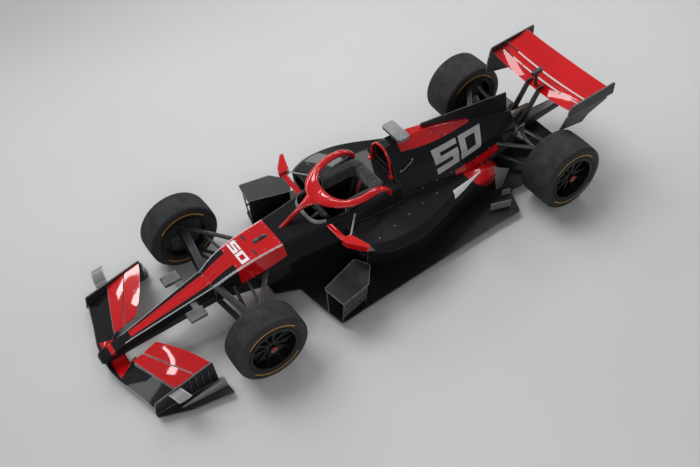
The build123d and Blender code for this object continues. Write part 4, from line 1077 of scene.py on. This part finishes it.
def wheel_nuts():
    for end, hub in (("front", FRONT_HUB), ("rear", REAR_HUB)):
        for side, sign in SIDES:
            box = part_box(f"{end}_rim_{side}")
            seat_y = (box[1][1] - NUT_BACK) if sign > 0 else (box[0][1] + NUT_BACK)
            place = facing((hub.x, seat_y, hub.z), AHEAD, (0, sign, 0))
            parts = [(slab(gear(NUT_R, NUT_ROOT, NUT_TEETH), 0, 0.005, 0.0008), "red"),
                     (lathe(NUT_SOCKET, 32), "steel")]
            parts = [(at(mesh, place), finish) for mesh, finish in parts]
            soften(piece(f"wheel_nut_{end}_{side}", parts, f"{end}_wheel_{side}"), 30)


# Front endplates: upright strakes on their outer faces and an arched tunnel on each footplate
STRAKE_X = (0.545, 0.605, 0.665, 0.725)  # from the front axle
STRAKE_Z = (0.095, 0.255)
STRAKE_REACH, STRAKE_T = 0.020, 0.004
FOOT_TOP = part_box("front_wing_endplates")[0][2] + 0.012  # above a footplate of 12 mm
# Columns: x from the front axle, y of the middle, width, height
TUNNEL_ROWS = ((0.868, 0.786, 0.010, 0.006), (0.76, 0.785, 0.034, 0.026), (0.62, 0.781, 0.060, 0.046),
               (0.435, 0.776, 0.090, 0.062))
TUNNEL_T = 0.003
ARCH_STEPS = 12


def arch(x, y, width, height):
    """Thin half ellipse standing on the footplate, as one closed loop."""
    turns = [math.pi * i / ARCH_STEPS for i in range(ARCH_STEPS + 1)]
    outer = [(width / 2 * math.cos(t), height * math.sin(t)) for t in turns]
    share = 1 - 2 * TUNNEL_T / max(width, 3 * TUNNEL_T)
    inner = [(u * share, v * share) for u, v in reversed(outer)]
    return [Vector((FA + x, y + u, FOOT_TOP + v)) for u, v in outer + inner]


def endplate_details():
    low, high = STRAKE_Z
    outline = ((0, low), (STRAKE_REACH, low + 0.03), (STRAKE_REACH, high - 0.02), (0, high))
    for side, sign in SIDES:
        flip = Matrix.Diagonal((1, sign, 1, 1))
        parts = []
        for x in STRAKE_X:
            blade = slab(outline, -STRAKE_T / 2, STRAKE_T / 2, 0.0008)
            place = facing((FA + x, PLATE_FACE - 0.001, 0), ACROSS, (1, -0.35, 0))
            parts.append((at(blade, flip @ place), "edged"))
        soften(piece(f"endplate_strakes_{side}", merged(parts)))
        tunnel = at(loft([arch(*row) for row in TUNNEL_ROWS]), flip)
        soften(piece(f"footplate_tunnel_{side}", [(tunnel, "vane")]), 50)


# Upright vanes on the floor beside the tail of each sidepod; columns: x from the front axle, z
VANE_OUTLINE = ((-2.86, 0.415), (-3.062, 0.281), (-2.985, 0.0755), (-2.91, 0.0755))
VANE_Y, VANE_T = 0.402, 0.006


def tail_vanes():
    outline = [(FA + x, z) for x, z in VANE_OUTLINE]
    for side, sign in SIDES:
        plate = slab(outline, -VANE_T / 2, VANE_T / 2, 0.0015)
        place = facing((0, sign * VANE_Y, 0), AHEAD, (0, -1, 0))
        soften(piece(f"tail_vane_{side}", [(at(plate, place), "vane")]))


# Pull handle on each side of the engine cover: x from the front axle, y, z of its ends
HANDLE_ENDS = ((-1.89, 0.21, 0.79), (-2.03, 0.18, 0.84))
HANDLE_R, HANDLE_RISE, HANDLE_ROOT = 0.005, 0.016, 0.004
HANDLE_PAD = ((0, 0.003), (0.010, 0.0025), (0.012, -0.002))


def cover_handles():
    skin = surface_of("engine_cover")
    for side, sign in SIDES:
        ends = [touch(skin, (FA + x, sign * y, z), (0, sign, 0.3)) for x, y, z in HANDLE_ENDS]
        (a, out), (b, _) = ends
        lifted = [a.lerp(b, share) + out * HANDLE_RISE for share in (0.12, 0.5, 0.88)]
        path = smooth([a - out * HANDLE_ROOT] + lifted + [b - out * HANDLE_ROOT], 6)
        parts = [(tube(path, HANDLE_R, UP), "alloy")]
        for spot in (a, b):
            parts.append((at(lathe(HANDLE_PAD, 20), facing(spot, AHEAD, out)), "alloy"))
        soften(piece(f"cover_handle_{side}", merged(parts)))


# Camera lenses on the front of each camera housing
LENS_R = 0.0085


def camera_lenses():
    parts = []
    for node, sign in [(node, sign) for node in ("onboard_camera", "nose_cameras") for sign in (1, -1)]:
        own = [v.co for v in NODES[node].data.vertices if v.co.y * sign > 0]
        front = max(p.x for p in own)
        face = [p for p in own if p.x > front - 0.004]
        spot = sum(face, Vector()) / len(face)
        place = facing((front, spot.y, spot.z), ACROSS, AHEAD)
        ring = lathe([(LENS_R, -0.002), (LENS_R, 0.0015), (LENS_R * 0.75, 0.002), (LENS_R * 0.7, 0.0005)], 24)
        glass = lathe([(0, 0.0014), (LENS_R * 0.4, 0.0011), (LENS_R * 0.72, 0)], 24)
        parts += [(at(ring, place), "alloy"), (at(glass, place), "screen")]
    soften(piece("camera_lenses", merged(parts)))


numbers()
blade_stripes()
endplate_details()
tail_vanes()
cover_handles()
camera_lenses()
panel_fittings()
fasteners()
headrest()
harness()
steering_fittings()
cockpit_rim()
roll_hoop()
mirror_glasses()
rain_light_cells()
wheel_nuts()


# Studio; columns: name, place, aim, size, power
LIGHTS = (
    ("strip", (0.5, -4.4, 3.5), (0.5, 0, 0.4), (6.8, 0.32), 95),
    ("front", (5.6, -4.4, 8.0), (2.2, 0.3, 0.2), (1.0, 0.22), 10),
    ("brow", (6.7, -3.0, 6.0), (2.5, 0.3, 0.1), (0.8, 0.5), 4),
    ("wing_far", (-2.7, -1.85, 5.5), (-2.25, -0.3, 0.8), (1.7, 0.45), 20),
    ("wing_near", (-2.4, -3.2, 4.35), (-2.27, 0.3, 0.8), (1.7, 0.5), 22),
    ("fill", (3.2, 5.2, 5.2), (0.2, 0, 0.3), (4, 1.2), 120),
    ("tail", (-6.0, -1.5, 4.0), (-1.5, 0, 0.4), (3, 0.7), 60),
)
SUN_FROM = (0.6, -2.2, 3.2)
SUN_LEVEL = 1.75
SUN_SPREAD = 35
FLOOR_GREYS, FLOOR_HALF = (0.48, 0.52), 60
SKY, SKY_LEVEL = (0.72, 0.74, 0.77), 0.38


def lamps():
    for name, spot, aim, size, power in LIGHTS:
        data = bpy.data.lights.new(name, "AREA")
        data.shape = "RECTANGLE"
        data.size, data.size_y = size
        data.energy = power
        turn = (Vector(spot) - Vector(aim)).to_track_quat("Z", "Y").to_matrix().to_4x4()
        new_object(name, data).matrix_world = Matrix.Translation(spot) @ turn
    sun = bpy.data.lights.new("sun", "SUN")
    sun.energy = SUN_LEVEL
    sun.angle = math.radians(SUN_SPREAD)
    light = new_object("sun", sun)
    light.matrix_world = Vector(SUN_FROM).to_track_quat("Z", "Y").to_matrix().to_4x4()
    light.visible_glossy = False


def studio():
    mesh = bmesh.new()
    bmesh.ops.create_grid(mesh, x_segments=1, y_segments=1, size=FLOOR_HALF)
    data = bpy.data.meshes.new("studio_floor")
    mesh.to_mesh(data)
    mesh.free()
    n = Nodes("floor_paint", roughness=0.6)
    data.materials.append(n.finish(n.mix(n.noise(0.6, 4), *[(g, g, g) for g in FLOOR_GREYS])))
    floor = new_object("studio_floor", data)
    world = bpy.data.worlds.new("studio")
    world.use_nodes = True
    background = world.node_tree.nodes["Background"]
    background.inputs["Color"].default_value = (*SKY, 1)
    background.inputs["Strength"].default_value = SKY_LEVEL
    SCENE.world = world
    SCENE.view_settings.view_transform = "Standard"


lamps()
studio()
